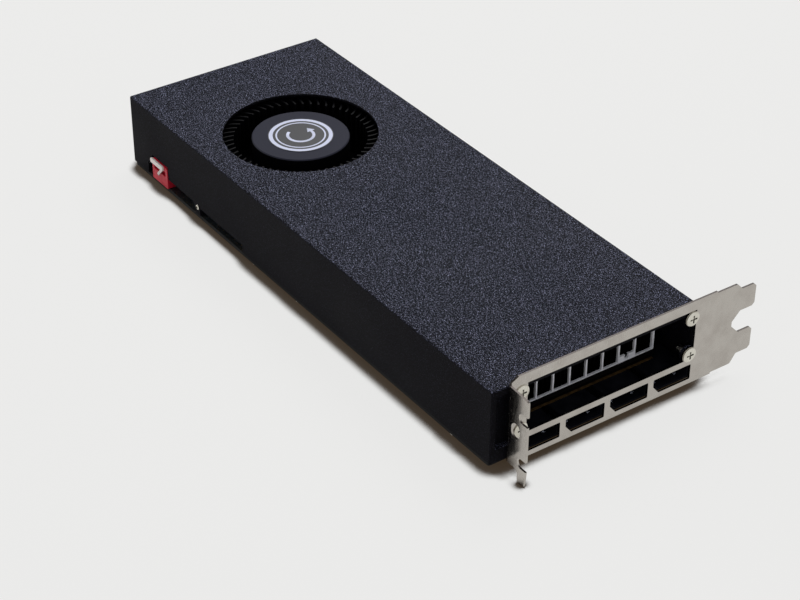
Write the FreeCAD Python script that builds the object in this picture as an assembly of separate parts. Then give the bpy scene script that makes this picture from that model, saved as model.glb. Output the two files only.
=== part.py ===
"""Dual-slot accelerator card with a radial blower, in millimetres.

Origin: the middle of the key notch in the card-edge connector, at the contact tips, on the
component side of the circuit board. +X runs to the mounting bracket, +Y out of the connector,
+Z from the board up through the cooler.
"""
import FreeCAD, Part
import math
import os

V = FreeCAD.Vector

# ---------------------------------------------------------------- circuit board
board_thickness = 1.57
board_beyond_shroud = 4.6      # on the contacts' side, without the contact tab
contact_tab_depth = 8.25
notch_to_board_front = 57.15
contact_tab_front = 12.6      # from the key notch
contact_tab_rear = 72.35
key_notch_width = 1.9
key_notch_depth = 7.7
contact_tip_bevel = 0.5
latch_gap = 3.2               # between the contact tab and the retention hook
hook_length = 6.0
hook_reach = 6.4
contact_pitch = 1.0
contact_width = 0.7
contact_length = 5.1
contact_tip_gap = 0.9
contact_plating = 0.05
contacts_front = 11
contacts_rear = 71
first_contact = 1.5

# ---------------------------------------------------------------- mounting bracket
bracket_sheet = 0.86
board_to_bracket = 1.05
tab_from_side = 7.03          # tab's outer face inside the shroud's near side
tongue_length = 7.27
bracket_width = 38.74
bracket_top_over_shroud = 3.15
tongue_width = 10.19
slot_pitch = 20.32
tongue_offset = 0.5           # tongues' middle above the bracket's middle
tongue_chamfer = 1.2
tongue_gap_depth = 3.9
tongue_gap_floor = 2.2
bracket_corner = 2.7
bracket_neck = 0.7            # narrower end by the tongues
bracket_neck_length = 12.9
shoulder_run = 4.3            # cut corners by the tab
shoulder_drop = 2.2
tab_reach = 12.1
tab_bend = 0.5                # inner radius
tab_notch_width = 4.42
tab_notch_depth = 5.1
tab_notch_lift = 7.0          # upper notch above the bracket's middle
tab_slot_width = 5.0
tab_slot_length = 6.7
tab_slot_inset = 6.6          # from the tab's outer edge
horn_width = 4.1
horn_reach = 3.7              # below the bracket's lower edge
tongue_tip_y = 15.6           # tongue tips beyond the contact tips

# ---------------------------------------------------------------- bracket openings
window_top_margin = 4.4
window_height = 22.6
window_start = 8.7            # from the tab's outer face
window_side_margin = 1.85     # to the shroud's far side
ear_radius = 3.3
bracket_screw_end = 3.87      # to the shroud's far side
bracket_screw_rise = 16.9
bracket_screw_start = 6.0     # from the tab's outer face
bracket_screw_drop = 7.8      # upper row below the bracket's upper edge
display_count = 4
display_first = 15.55         # middle of the first, from the tab's outer face
display_last = 11.82          # middle of the last, from the shroud's far side
display_width = 18.7
display_height = 6.9
display_bottom = -0.8
display_key_run = 2.9
display_key_rise = 3.6
display_corner = 0.5

# ---------------------------------------------------------------- shroud
shroud_length = 266.0
shroud_width = 98.6
shroud_height = 32.6
shroud_sheet = 1.0
shroud_bend = 0.7             # outer radius; the inner corners are square
board_inset = 0.3             # board edge inside the shroud's outer faces
flange_side = 2.2
flange_top = 3.3
foot_height = 5.5
foot_gap = 0.6                # between the flange's foot and the first display socket
flange_ear = 3.4
pocket_depth = 2.6            # joggle beside the bracket's fold
pocket_end = 9.9
lug_length = 9.0
lug_depth = 7.4
connector_notch_start = 13.5  # from the rear end
connector_notch_low = 6.0
connector_notch_step = 4.0
connector_notch_top = 11.0
connector_notch_end = 31.4
slot_one_end = 55.0
slot_one_height = 5.0
slot_two_start = 58.4
slot_two_end = 93.5
slot_two_height = 3.8
slot_corner = 0.8

# ---------------------------------------------------------------- blower
fan_from_rear = 69.8
fan_from_side = 45.1
inlet_radius = 33.6
impeller_radius = 36.5
blade_inner_radius = 28.8
blade_count = 53
blade_thickness = 0.8
blade_lean = 30.0             # degrees from radial at the middle of the blade
blade_bow = 0.9
blade_top_gap = 1.4           # below the shroud's sheet
blade_ring_height = 1.6
blade_ring_wall = 0.8
impeller_floor = 1.1
floor_clearance = 1.5
hub_radius = 21.2
hub_depth = 1.7               # hub face below the shroud's upper face
hub_wall = 1.7
hub_plate = 1.8
hub_bevel = 0.5
label_radius = 14.2
label_thickness = 0.15
shaft_radius = 1.5
running_clearance = 0.03
boss_radius = 4.0
boss_depth = 3.6
rotor_sheet = 0.6
magnet_wall = 2.0
magnet_height = 10.0
bearing_wall = 1.5
tube_wall = 1.5
thrust_gap = 0.1
stator_radius = 15.9
stator_height = 9.0
stator_teeth = 9
tooth_width = 3.0
tooth_head = 1.6
winding_thickness = 1.3
housing_floor_z = 6.5
housing_floor = 1.5
scroll_wall = 1.2
scroll_start_gap = 1.9        # impeller to the cutoff
scroll_growth = 3.7
cutoff_angle = 50.0
housing_gap = 0.3             # to the shroud
housing_length = 48.0         # from the fan's middle to the outlet
foot_radius = 3.2
housing_lug_radius = 3.4
housing_lug_reach = 44.0
side_foot_from_rear = 52.2
side_foot_from_side = 4.7
front_foot_inset = 7.0
motor_board_radius = 16.5
motor_board_thickness = 1.0
motor_board_drop = 0.5        # below the impeller's floor
winding_gap = 0.7

# ---------------------------------------------------------------- heat sink and processor
processor_from_bracket = 78.2
substrate_size = 45.0
substrate_thickness = 1.1
die_size = 26.0
die_thickness = 0.85
sink_length = 122.0
sink_width = 75.2
sink_plate = 2.85
sink_start_gap = 4.0          # behind the blower's outlet
fin_count = 37
fin_thickness = 0.4
fin_foil = 0.5
fin_overhang = 6.2            # fins above the display sockets
guide_setback = 3.0           # fins behind the outlet guide
fin_top_gap = 0.7
socket_air = 0.6
guide_sheet = 1.0
guide_bar = 0.7
guide_pitch = 7.98
guide_end_cell = 0.95         # first cell wider than the others
guide_rail = 2.8
guide_return = 8.0
guide_tag_height = 2.3
guide_tag_hole = 1.1
guide_tag_cell = 2            # cell with the fixing tag, counted from the connector side
ground_strip = 0.3
ground_strip_lead = 1.5       # in front of the guide

# ---------------------------------------------------------------- display sockets
socket_width = 17.9
socket_height = 5.9
socket_depth = 16.6
socket_wall = 0.35
socket_gap = 0.1              # behind the bracket
socket_back = 3.0
socket_tongue = 0.9
socket_tongue_width = 12.4
socket_tongue_recess = 4.6
socket_contact_count = 8
socket_contact_pitch = 1.3

# ---------------------------------------------------------------- power and side connectors
power_width = 18.6
power_height = 9.6
power_depth = 12.6
power_from_far_side = 22.2
power_notch_gap = 0.6
power_columns = 4
power_pitch = 4.2
power_well = 3.4
power_well_depth = 8.5
power_pin = 1.0
side_block_length = 13.2
side_block_height = 10.2
side_block_depth = 12.0
side_block_proud = 0.35
side_block_well = 7.0
clip_length = 10.7
clip_height = 2.2
clip_proud = 0.8
clip_lead = 0.3               # past the red block towards the rear
clip_arm = 6.4

# ---------------------------------------------------------------- board parts
memory_length = 14.0
memory_width = 12.0
memory_height = 1.1
memory_offset = 34.0
memory_spread = 16.0
memory_edge = 0.6             # inside the base plate's long edges
choke_count = 8
choke_size = 7.0
choke_height = 5.0
choke_row_margin = 16.4       # end chokes' middles inside the shroud's sides
capacitor_radius = 3.0
capacitor_height = 5.4
power_stage_height = 0.9
power_stage_length = 5.0
power_stage_width = 6.0
power_stage_gap = 1.5
capacitor_gap = 2.7
choke_row_gap = 14.0          # behind the blower's outlet
header_length = 9.8
header_width = 4.5
header_height = 3.6
header_wall = 0.7
header_from_rear = 20.0
header_from_side = 24.0

# ---------------------------------------------------------------- fasteners
screw_radius = 1.5
screw_head_radius = 3.1
screw_head_height = 1.6
bracket_head_height = 0.75    # above the bracket's face
screw_length = 6.0
screw_clearance = 0.2
thread_clearance = 0.05
recess_width = 0.7
recess_depth = 0.9
board_screw_radius = 1.25
board_screw_head = 2.6
board_screw_head_height = 1.5
board_screw_inset = 3.4
board_screw_bite = 1.2
foot_screw_bite = 5.0
near_screw_1 = 8.0            # board screws from the rear, near side
near_screw_2 = 100.5
near_screw_3 = 134.0
near_screw_4 = 241.0
far_screw_1 = 8.0             # board screws from the rear, far side
far_screw_2 = 100.5
far_screw_3 = 170.0
far_screw_4 = 236.0
side_screw_head = 1.15
side_screw_radius = 0.8
side_screw_length = 2.8
side_screw_height = 0.5
side_screw_from_rear = 56.7
side_screw_z = 3.7
retention_sheet = 0.6
retention_span = 62.0
retention_arm = 9.0
retention_hub = 15.0
retention_head_height = 0.95

# ---------------------------------------------------------------- derived places
bracket_x = notch_to_board_front + board_to_bracket
bracket_face_x = bracket_x + bracket_sheet
board_front_x = notch_to_board_front
shroud_x0 = bracket_x - shroud_length
card_height = shroud_width - board_inset + board_beyond_shroud + contact_tab_depth
shroud_y0 = -card_height - board_inset
shroud_y1 = shroud_y0 + shroud_width
board_rear_x = shroud_x0 + board_inset
board_bottom_z = -board_thickness
bracket_top_z = shroud_height + bracket_top_over_shroud
bracket_low_z = bracket_top_z - bracket_width
bracket_mid_z = (bracket_top_z + bracket_low_z) / 2
tab_y = shroud_y0 + tab_from_side
body_end_y = tongue_tip_y - tongue_length
tab_end_x = bracket_x + tab_reach
screw_y = (tab_y + bracket_screw_start, shroud_y1 - bracket_screw_end)
screw_z = (bracket_top_z - bracket_screw_drop, bracket_top_z - bracket_screw_drop - bracket_screw_rise)
display_start_y = tab_y + display_first
display_pitch = (shroud_y1 - display_last - display_start_y) / (display_count - 1)
display_ys = [display_start_y + i * display_pitch for i in range(display_count)]
fan_x = shroud_x0 + fan_from_rear
fan_y = shroud_y0 + fan_from_side
shroud_under_z = shroud_height - shroud_sheet
hub_top_z = shroud_height - hub_depth
housing_top_z = housing_floor_z + housing_floor
impeller_low_z = housing_top_z + floor_clearance
motor_board_z = impeller_low_z - motor_board_drop
stator_low_z = motor_board_z + motor_board_thickness + winding_thickness + winding_gap
blade_top_z = shroud_under_z - blade_top_gap
tube_radius = shaft_radius + running_clearance + bearing_wall
hub_under_z = hub_top_z - hub_plate
boss_low_z = hub_under_z - rotor_sheet - boss_depth
tube_top_z = boss_low_z - floor_clearance
thrust_z = housing_top_z + housing_floor / 2
housing_front_x = fan_x + housing_length
sink_x0 = housing_front_x + sink_start_gap
sink_x1 = sink_x0 + sink_length
sink_y0 = shroud_y0 + (shroud_width - sink_width) / 2
sink_y1 = sink_y0 + sink_width
sink_z0 = substrate_thickness + die_thickness
fin_z0 = sink_z0 + sink_plate
fin_top_z = shroud_under_z - fin_top_gap
fin_x1 = sink_x1 + fin_overhang
guide_x0 = fin_x1 + guide_setback
guide_x1 = guide_x0 + guide_sheet
power_y = shroud_y1 - power_from_far_side
overhang_z = socket_height + socket_air
processor_x = bracket_x - processor_from_bracket
processor_y = shroud_y0 + shroud_width / 2
choke_pitch = (shroud_width - 2 * choke_row_margin) / (choke_count - 1)
board_screws = [
    (shroud_x0 + along, shroud_y0 + across)
    for across, places in (
        (board_screw_inset, (near_screw_1, near_screw_2, near_screw_3, near_screw_4)),
        (shroud_width - board_screw_inset, (far_screw_1, far_screw_2, far_screw_3, far_screw_4)),
    )
    for along in places
]
housing_feet = [
    (housing_front_x - front_foot_inset, shroud_y0 + front_foot_inset),
    (housing_front_x - front_foot_inset, shroud_y1 - front_foot_inset),
    (fan_x - housing_lug_reach / math.sqrt(2), fan_y + housing_lug_reach / math.sqrt(2)),
    (shroud_x0 + side_foot_from_rear, shroud_y0 + side_foot_from_side),
]
retention_screws = [
    (processor_x + sx * retention_span / 2, processor_y + sy * retention_span / 2)
    for sx in (-1, 1)
    for sy in (-1, 1)
]


# ---------------------------------------------------------------- building blocks
def box(x0, x1, y0, y1, z0, z1):
    """Block between two corners."""
    return Part.makeBox(x1 - x0, y1 - y0, z1 - z0, V(x0, y0, z0))


def post(radius, x, y, z0, z1):
    """Round post along Z."""
    return Part.makeCylinder(radius, z1 - z0, V(x, y, z0), V(0, 0, 1))


def tube(outer, inner, x, y, z0, z1):
    """Tube along Z."""
    return post(outer, x, y, z0, z1).cut(post(inner, x, y, z0, z1))


def rod(radius, x0, x1, y, z):
    """Round rod along X."""
    return Part.makeCylinder(radius, x1 - x0, V(x0, y, z), V(1, 0, 0))


def outline(corners):
    """Closed wire through corners (point, radius), with an arc at each radius above zero."""
    count = len(corners)
    starts, ends, arcs = [], [], []
    for i, (point, radius) in enumerate(corners):
        before = (corners[i - 1][0] - point).normalize()
        after = (corners[(i + 1) % count][0] - point).normalize()
        if radius <= 0:
            starts.append(point)
            ends.append(point)
            arcs.append(None)
            continue
        half = before.getAngle(after) / 2
        reach = radius / math.tan(half)
        inward = (before + after).normalize()
        middle = point + inward * (radius / math.sin(half) - radius)
        starts.append(point + before * reach)
        ends.append(point + after * reach)
        arcs.append(middle)
    edges = []
    for i in range(count):
        if arcs[i] is not None:
            edges.append(Part.Arc(starts[i], arcs[i], ends[i]).toShape())
        edges.append(Part.LineSegment(ends[i], starts[(i + 1) % count]).toShape())
    return Part.Wire(edges)


def plate_yz(corners, x0, x1):
    """Plate across X from (y, z, radius) corners."""
    wire = outline([(V(x0, y, z), radius) for y, z, radius in corners])
    return Part.Face(wire).extrude(V(x1 - x0, 0, 0))


def plate_xz(corners, y0, y1):
    """Plate across Y from (x, z, radius) corners."""
    wire = outline([(V(x, y0, z), radius) for x, z, radius in corners])
    return Part.Face(wire).extrude(V(0, y1 - y0, 0))


def plate_xy(corners, z0, z1):
    """Plate across Z from (x, y, radius) corners."""
    wire = outline([(V(x, y, z0), radius) for x, y, radius in corners])
    return Part.Face(wire).extrude(V(0, 0, z1 - z0))


def join(shapes):
    """One solid from shapes that meet."""
    return shapes[0].multiFuse(shapes[1:]).removeSplitter()


def cut(shape, tools):
    """Shape without the tools."""
    return shape.cut(Part.makeCompound(tools))


def group(shapes):
    """Separate solids that share one node."""
    return Part.makeCompound(shapes)


def save(name, shape):
    """Write one node's solids."""
    shape.exportStep(f"parts/{name}.step")
    print(f"{name:22s} solids {len(shape.Solids):3d} valid {shape.isValid()} volume {shape.Volume:10.1f}")


def pan_screw(radius, length, head_radius, head_height, place, direction):
    """Cross-recess pan-head screw whose head stands on place and whose shank runs against direction."""
    rim = head_height * 0.55
    profile = [
        Part.LineSegment(V(0, 0, -length), V(radius, 0, -length)).toShape(),
        Part.LineSegment(V(radius, 0, -length), V(radius, 0, 0)).toShape(),
        Part.LineSegment(V(radius, 0, 0), V(head_radius, 0, 0)).toShape(),
        Part.LineSegment(V(head_radius, 0, 0), V(head_radius, 0, rim)).toShape(),
        Part.Arc(
            V(head_radius, 0, rim),
            V(head_radius * 0.78, 0, rim + (head_height - rim) * 0.72),
            V(head_radius * 0.35, 0, head_height),
        ).toShape(),
        Part.LineSegment(V(head_radius * 0.35, 0, head_height), V(0, 0, head_height)).toShape(),
        Part.LineSegment(V(0, 0, head_height), V(0, 0, -length)).toShape(),
    ]
    screw = Part.Face(Part.Wire(profile)).revolve(V(0, 0, 0), V(0, 0, 1), 360)
    arm = head_radius * 0.55
    depth = min(recess_depth, head_height * 0.6)
    slots = [
        box(-arm, arm, -recess_width / 2, recess_width / 2, head_height - depth, head_height + 1),
        box(-recess_width / 2, recess_width / 2, -arm, arm, head_height - depth, head_height + 1),
    ]
    screw = screw.cut(join(slots))
    screw.Placement = FreeCAD.Placement(place, FreeCAD.Rotation(V(0, 0, 1), direction))
    return screw


# ---------------------------------------------------------------- circuit board
def circuit_board():
    """Board with its contact tab, key notch, retention hook and screw holes."""
    edge_y = -contact_tab_depth
    hook_x = -contact_tab_rear - latch_gap
    corners = [
        (board_rear_x, -card_height, 2.0),
        (board_front_x, -card_height, 1.0),
        (board_front_x, edge_y, 1.0),
        (contact_tab_front, edge_y, 0.6),
        (contact_tab_front, 0, 0.8),
        (-contact_tab_rear, 0, 0.8),
        (-contact_tab_rear, edge_y + 1.0, 0.5),
        (hook_x, edge_y + 1.0, 0.5),
        (hook_x, edge_y + hook_reach - 1.5, 0.3),
        (hook_x - 1.5, edge_y + hook_reach, 0.5),
        (hook_x - hook_length, edge_y + hook_reach, 1.0),
        (hook_x - hook_length, edge_y, 0.6),
        (board_rear_x, edge_y, 2.0),
    ]
    board = plate_xy(corners, board_bottom_z, 0)
    half = key_notch_width / 2
    notch_end = -key_notch_depth + half
    tools = [
        box(-half, half, notch_end, 1, board_bottom_z - 1, 1),
        post(half, 0, notch_end, board_bottom_z - 1, 1),
    ]
    bevel = contact_tip_bevel
    for side in (0, board_bottom_z):
        step = bevel if side == 0 else -bevel
        wedge = [(0.1, side, 0), (-bevel, side, 0), (0.1, side - step * 1.2, 0)]
        tools.append(plate_yz(wedge, -contact_tab_rear - 1, contact_tab_front + 1))
    for x, y in board_screws + housing_feet:
        tools.append(post(board_screw_radius + screw_clearance, x, y, board_bottom_z - 1, 1))
    for x, y in retention_screws:
        tools.append(post(screw_radius + screw_clearance, x, y, board_bottom_z - 1, 1))
    return cut(board, tools)


def edge_contacts():
    """Plated contacts on both faces of the contact tab."""
    places = [first_contact + i * contact_pitch for i in range(contacts_front)]
    places += [-first_contact - i * contact_pitch for i in range(contacts_rear)]
    y1 = -contact_tip_gap
    y0 = y1 - contact_length
    pads = []
    for x in places:
        for z in (0, board_bottom_z - contact_plating):
            pads.append(box(x - contact_width / 2, x + contact_width / 2, y0, y1, z, z + contact_plating))
    return group(pads)


# ---------------------------------------------------------------- mounting bracket
def display_cutout(y, width, height, low, x0, x1):
    """Display socket outline with its keyed corner, as a prism across X."""
    key_run = display_key_run * width / display_width
    key_rise = display_key_rise * height / display_height
    return plate_yz(
        [
            (y - width / 2, low + height, display_corner),
            (y + width / 2, low + height, display_corner),
            (y + width / 2, low, display_corner),
            (y - width / 2 + key_run, low, display_corner),
            (y - width / 2, low + key_rise, display_corner),
        ],
        x0,
        x1,
    )


def bracket_window(x0, x1):
    """Exhaust window, drawn in round the four screw ears."""
    top = bracket_top_z - window_top_margin
    y0 = tab_y + window_start
    window = box(x0, x1, y0, shroud_y1 - window_side_margin, top - window_height, top)
    ears = [rod(ear_radius, x0, x1, y, z) for y in screw_y for z in screw_z]
    return cut(window, ears)


def io_bracket():
    """Folded dual-slot bracket: face, tongues, window, display cut-outs and fastening tab."""
    high = bracket_mid_z + tongue_offset + slot_pitch / 2
    low = high - slot_pitch
    half = tongue_width / 2
    tip = tongue_tip_y
    gap_mid = (high + low) / 2
    neck_y = body_end_y - bracket_neck_length
    bend_outer = tab_bend + bracket_sheet
    fold_y = tab_y + bend_outer
    fold_x = bracket_x + bend_outer
    corners = [
        (fold_y, bracket_top_z, 0),
        (fold_y, bracket_low_z, 0),
        (neck_y, bracket_low_z, 0.3),
        (neck_y, bracket_low_z + bracket_neck, 0.3),
        (body_end_y - bracket_corner, bracket_low_z + bracket_neck, 1.5),
        (body_end_y, low - half, 1.0),
    ]
    for middle in (low, high):
        if middle == high:
            corners.append((body_end_y - tongue_gap_depth, gap_mid - tongue_gap_floor / 2, 0.8))
            corners.append((body_end_y - tongue_gap_depth, gap_mid + tongue_gap_floor / 2, 0.8))
            corners.append((body_end_y, high - half, 0.8))
        corners.append((tip - tongue_chamfer, middle - half, 0.6))
        corners.append((tip, middle - half + tongue_chamfer, 0.6))
        corners.append((tip, middle + half - tongue_chamfer, 0.6))
        corners.append((tip - tongue_chamfer, middle + half, 0.6))
        corners.append((body_end_y, middle + half, 0.8))
    corners += [
        (body_end_y - bracket_corner, bracket_top_z - bracket_neck, 1.5),
        (neck_y, bracket_top_z - bracket_neck, 0.3),
        (neck_y, bracket_top_z, 0.3),
    ]
    face = plate_yz(corners, bracket_x, bracket_face_x)
    shoulder_low = bracket_low_z + shoulder_drop
    shoulder_top = bracket_top_z - shoulder_drop
    bend = tube(bend_outer, tab_bend, fold_x, fold_y, bracket_low_z, bracket_top_z)
    bend = bend.common(box(bracket_x, fold_x, tab_y, fold_y, bracket_low_z, bracket_top_z))
    horn_tip = bracket_low_z - horn_reach
    horn_x = tab_end_x - 0.6 - horn_width
    tab = plate_xz(
        [
            (fold_x, shoulder_top, 0),
            (tab_end_x, shoulder_top - 0.9, 1.0),
            (tab_end_x, shoulder_low + shoulder_drop, 2.0),
            (tab_end_x - 0.8, horn_tip + 0.4, 0.5),
            (horn_x, horn_tip, 0.5),
            (horn_x, shoulder_low, 2.4),
            (fold_x, shoulder_low, 0),
        ],
        tab_y,
        tab_y + bracket_sheet,
    )
    shoulders = []
    for edge, shoulder, out in ((bracket_top_z, shoulder_top, 1), (bracket_low_z, shoulder_low, -1)):
        shoulders.append(
            plate_yz(
                [
                    (tab_y + shoulder_run, edge, 0),
                    (tab_y, shoulder, 0),
                    (tab_y - 1, shoulder, 0),
                    (tab_y - 1, edge + out, 0),
                    (tab_y + shoulder_run, edge + out, 0),
                ],
                bracket_x - 1,
                fold_x,
            )
        )
    tools = shoulders + [bracket_window(bracket_x - 1, bracket_face_x + 1)]
    for y in display_ys:
        tools.append(
            display_cutout(y, display_width, display_height, display_bottom, bracket_x - 1, bracket_face_x + 1)
        )
    for y in screw_y:
        for z in screw_z:
            tools.append(rod(screw_radius + screw_clearance, bracket_x - 1, bracket_face_x + 1, y, z))
    notch_half = tab_notch_width / 2
    notch_x = tab_end_x - tab_notch_depth + notch_half
    for z in (bracket_mid_z + tab_notch_lift, bracket_mid_z + tab_notch_lift - slot_pitch):
        tools.append(box(notch_x, tab_end_x + 1, tab_y - 1, tab_y + 2, z - notch_half, z + notch_half))
        tools.append(Part.makeCylinder(notch_half, 3, V(notch_x, tab_y - 1, z), V(0, 1, 0)))
    slot_x = tab_end_x - tab_slot_inset
    slot_z = bracket_mid_z - 0.5
    rise = (tab_slot_length - tab_slot_width) / 2
    for z in (slot_z - rise, slot_z + rise):
        tools.append(Part.makeCylinder(tab_slot_width / 2, 3, V(slot_x, tab_y - 1, z), V(0, 1, 0)))
    slot_half = tab_slot_width / 2
    tools.append(box(slot_x - slot_half, slot_x + slot_half, tab_y - 1, tab_y + 2, slot_z - rise, slot_z + rise))
    return cut(join([face, bend, tab]), tools)


def bracket_screws():
    """Four pan-head screws that hold the bracket to the shroud's ears."""
    screws = []
    for y in screw_y:
        for z in screw_z:
            place = V(bracket_face_x, y, z)
            screws.append(
                pan_screw(screw_radius, screw_length, screw_head_radius, bracket_head_height, place, V(1, 0, 0))
            )
    return group(screws)


# ---------------------------------------------------------------- shroud
def front_opening(x0, x1):
    """Opening in the shroud's front flange, with four screw ears and a foot left standing."""
    first_socket = display_ys[0] - display_width / 2
    foot_y = first_socket - foot_gap
    wide = box(x0, x1, shroud_y0 + flange_side, shroud_y1 - flange_side, foot_height, shroud_height - flange_top)
    low = box(x0, x1, foot_y, shroud_y1 - flange_side, -1, foot_height)
    ears = [rod(flange_ear, x0, x1, y, z) for y in screw_y for z in screw_z]
    neck = box(x0, x1, foot_y - flange_ear, foot_y, foot_height, screw_z[1])
    return cut(join([wide, low]), ears + [neck])


def fold_pocket():
    """Joggled wall that closes the flange behind the bracket's fold."""
    x1 = bracket_x
    x0 = x1 - shroud_sheet - pocket_depth
    y0 = shroud_y0 + shroud_sheet / 2
    y1 = shroud_y0 + pocket_end
    z0 = foot_height - shroud_sheet / 2
    z1 = shroud_under_z + shroud_sheet / 2
    solid = box(x0, x1, y0, y1, z0, z1)
    hollow = box(x0 + shroud_sheet, x1 + 1, shroud_y0 + flange_side, y1 - shroud_sheet, foot_height, shroud_height - flange_top)
    return solid.cut(hollow)


def side_notches():
    """Connector notch and two slots in the lower edge of the side wall."""
    y0 = shroud_y0 - 1
    y1 = shroud_y0 + shroud_sheet + 0.5
    rear = shroud_x0
    step_x = rear + connector_notch_start + connector_notch_step
    first = plate_xz(
        [
            (rear + connector_notch_start, -1, 0),
            (rear + connector_notch_start, connector_notch_low, slot_corner),
            (step_x, connector_notch_low, 0),
            (step_x, connector_notch_top, slot_corner),
            (rear + connector_notch_end, connector_notch_top, slot_corner),
            (rear + connector_notch_end, slot_one_height, 0),
            (rear + slot_one_end - slot_one_height / 2, slot_one_height, slot_corner),
            (rear + slot_one_end, slot_one_height / 2, slot_corner),
            (rear + slot_one_end, -1, 0),
        ],
        y0,
        y1,
    )
    second = plate_xz(
        [
            (rear + slot_two_start, -1, 0),
            (rear + slot_two_start, slot_two_height, slot_corner),
            (rear + slot_two_end, slot_two_height, slot_corner),
            (rear + slot_two_end, -1, 0),
        ],
        y0,
        y1,
    )
    return [first, second]


def shroud():
    """Folded sheet cover: top, four walls, front flange, fastening lugs and openings."""
    x1 = bracket_x
    outer = box(shroud_x0, x1, shroud_y0, shroud_y1, 0, shroud_height)
    upright = [e for e in outer.Edges if abs(e.Vertexes[0].Z - e.Vertexes[-1].Z) > 1]
    roof = [e for e in outer.Edges if min(v.Z for v in e.Vertexes) > shroud_height - 0.01]
    outer = outer.makeFillet(shroud_bend, upright + roof)
    inner = box(
        shroud_x0 + shroud_sheet,
        x1 - shroud_sheet,
        shroud_y0 + shroud_sheet,
        shroud_y1 - shroud_sheet,
        -1,
        shroud_under_z,
    )
    cover = outer.cut(inner)
    power_half = power_width / 2 + power_notch_gap
    tools = [
        front_opening(x1 - shroud_sheet - 0.5, x1 + 1),
        post(inlet_radius, fan_x, fan_y, shroud_under_z - 1, shroud_height + 1),
        box(
            shroud_x0 - 1,
            shroud_x0 + shroud_sheet + 0.5,
            power_y - power_half,
            power_y + power_half,
            -1,
            power_height + power_notch_gap,
        ),
        Part.makeCylinder(
            side_screw_radius + thread_clearance,
            shroud_sheet + 1,
            V(shroud_x0 + side_screw_from_rear, shroud_y0 - 0.5, side_screw_z),
            V(0, 1, 0),
        ),
    ]
    tools += side_notches()
    for y in screw_y:
        for z in screw_z:
            tools.append(rod(screw_radius + thread_clearance, x1 - shroud_sheet - 1, x1 + 1, y, z))
    cover = join([cut(cover, tools), fold_pocket()])
    lugs = []
    holes = []
    for x, y in board_screws:
        near_side = y < shroud_y0 + shroud_width / 2
        y0 = shroud_y0 + shroud_sheet - 0.2 if near_side else shroud_y1 - lug_depth
        y1 = shroud_y0 + lug_depth if near_side else shroud_y1 - shroud_sheet + 0.2
        free_y = y1 if near_side else y0
        wall_y = y0 if near_side else y1
        lugs.append(
            plate_xy(
                [
                    (x - lug_length / 2, wall_y, 0),
                    (x + lug_length / 2, wall_y, 0),
                    (x + lug_length / 2, free_y, 2.0),
                    (x - lug_length / 2, free_y, 2.0),
                ],
                0,
                shroud_sheet,
            )
        )
        holes.append(post(board_screw_radius + thread_clearance, x, y, -1, shroud_sheet + 1))
    return cut(join([cover] + lugs), holes)


# ---------------------------------------------------------------- blower
def scroll_point(angle, extra):
    """Point on the scroll at an angle in degrees, counter-clockwise from the outlet side."""
    share = (angle - cutoff_angle) / (270.0 - cutoff_angle)
    radius = impeller_radius + scroll_start_gap + scroll_growth * share + extra
    turn = math.radians(angle)
    return V(fan_x + radius * math.cos(turn), fan_y + radius * math.sin(turn), housing_floor_z)


def scroll_curve(extra):
    """Smooth scroll line from the cutoff round to the straight side."""
    curve = Part.BSplineCurve()
    steps = 12
    angles = [cutoff_angle + (270.0 - cutoff_angle) * i / steps for i in range(steps + 1)]
    curve.interpolate([scroll_point(angle, extra) for angle in angles])
    return curve.toShape()


def blower_housing():
    """Moulded floor, scroll wall, feet and bearing tube of the blower."""
    top = shroud_under_z - housing_gap
    rise = V(0, 0, top - housing_floor_z)
    inner = scroll_curve(0)
    outer = scroll_curve(scroll_wall)
    start_in = scroll_point(cutoff_angle, 0)
    start_out = scroll_point(cutoff_angle, scroll_wall)
    end_in = scroll_point(270.0, 0)
    end_out = scroll_point(270.0, scroll_wall)
    band = Part.Wire(
        [
            inner,
            Part.LineSegment(end_in, end_out).toShape(),
            outer,
            Part.LineSegment(start_out, start_in).toShape(),
        ]
    )
    scroll = Part.Face(band).extrude(rise)
    straight = box(fan_x, housing_front_x, end_out.y, end_in.y, housing_floor_z, top)
    right_y = shroud_y1 - shroud_sheet - housing_gap
    duct = plate_xy(
        [
            (start_in.x, start_in.y, 0),
            (start_out.x, start_out.y, 0),
            (housing_front_x - scroll_wall, right_y, 0),
            (housing_front_x, right_y, 0),
            (housing_front_x, right_y - scroll_wall, 0),
        ],
        housing_floor_z,
        top,
    )
    corner_out = V(housing_front_x, end_out.y, housing_floor_z)
    corner_right = V(housing_front_x, right_y, housing_floor_z)
    floor_wire = Part.Wire(
        [
            outer,
            Part.LineSegment(end_out, corner_out).toShape(),
            Part.LineSegment(corner_out, corner_right).toShape(),
            Part.LineSegment(corner_right, V(start_out.x, right_y, housing_floor_z)).toShape(),
            Part.LineSegment(V(start_out.x, right_y, housing_floor_z), start_out).toShape(),
        ]
    )
    floor = Part.Face(floor_wire).extrude(V(0, 0, housing_floor))
    pieces = [floor, scroll, straight, duct]
    for x, y in housing_feet:
        pieces.append(post(housing_lug_radius, x, y, housing_floor_z, housing_top_z))
        pieces.append(post(foot_radius, x, y, 0, housing_floor_z + 0.5))
    pieces.append(post(tube_radius + tube_wall, fan_x, fan_y, housing_floor_z, tube_top_z))
    pieces.append(post(tube_radius + tube_wall + 1.5, fan_x, fan_y, housing_floor_z, motor_board_z))
    shell = join(pieces)
    tools = [post(tube_radius, fan_x, fan_y, thrust_z, tube_top_z + 1)]
    for x, y in housing_feet:
        tools.append(post(board_screw_radius + thread_clearance, x, y, -1, housing_floor_z - 0.5))
    return cut(shell, tools)


def bearing_sleeve():
    """Sintered sleeve pressed in the bearing tube."""
    return tube(tube_radius, shaft_radius + running_clearance, fan_x, fan_y, thrust_z + 0.6, tube_top_z)


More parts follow.
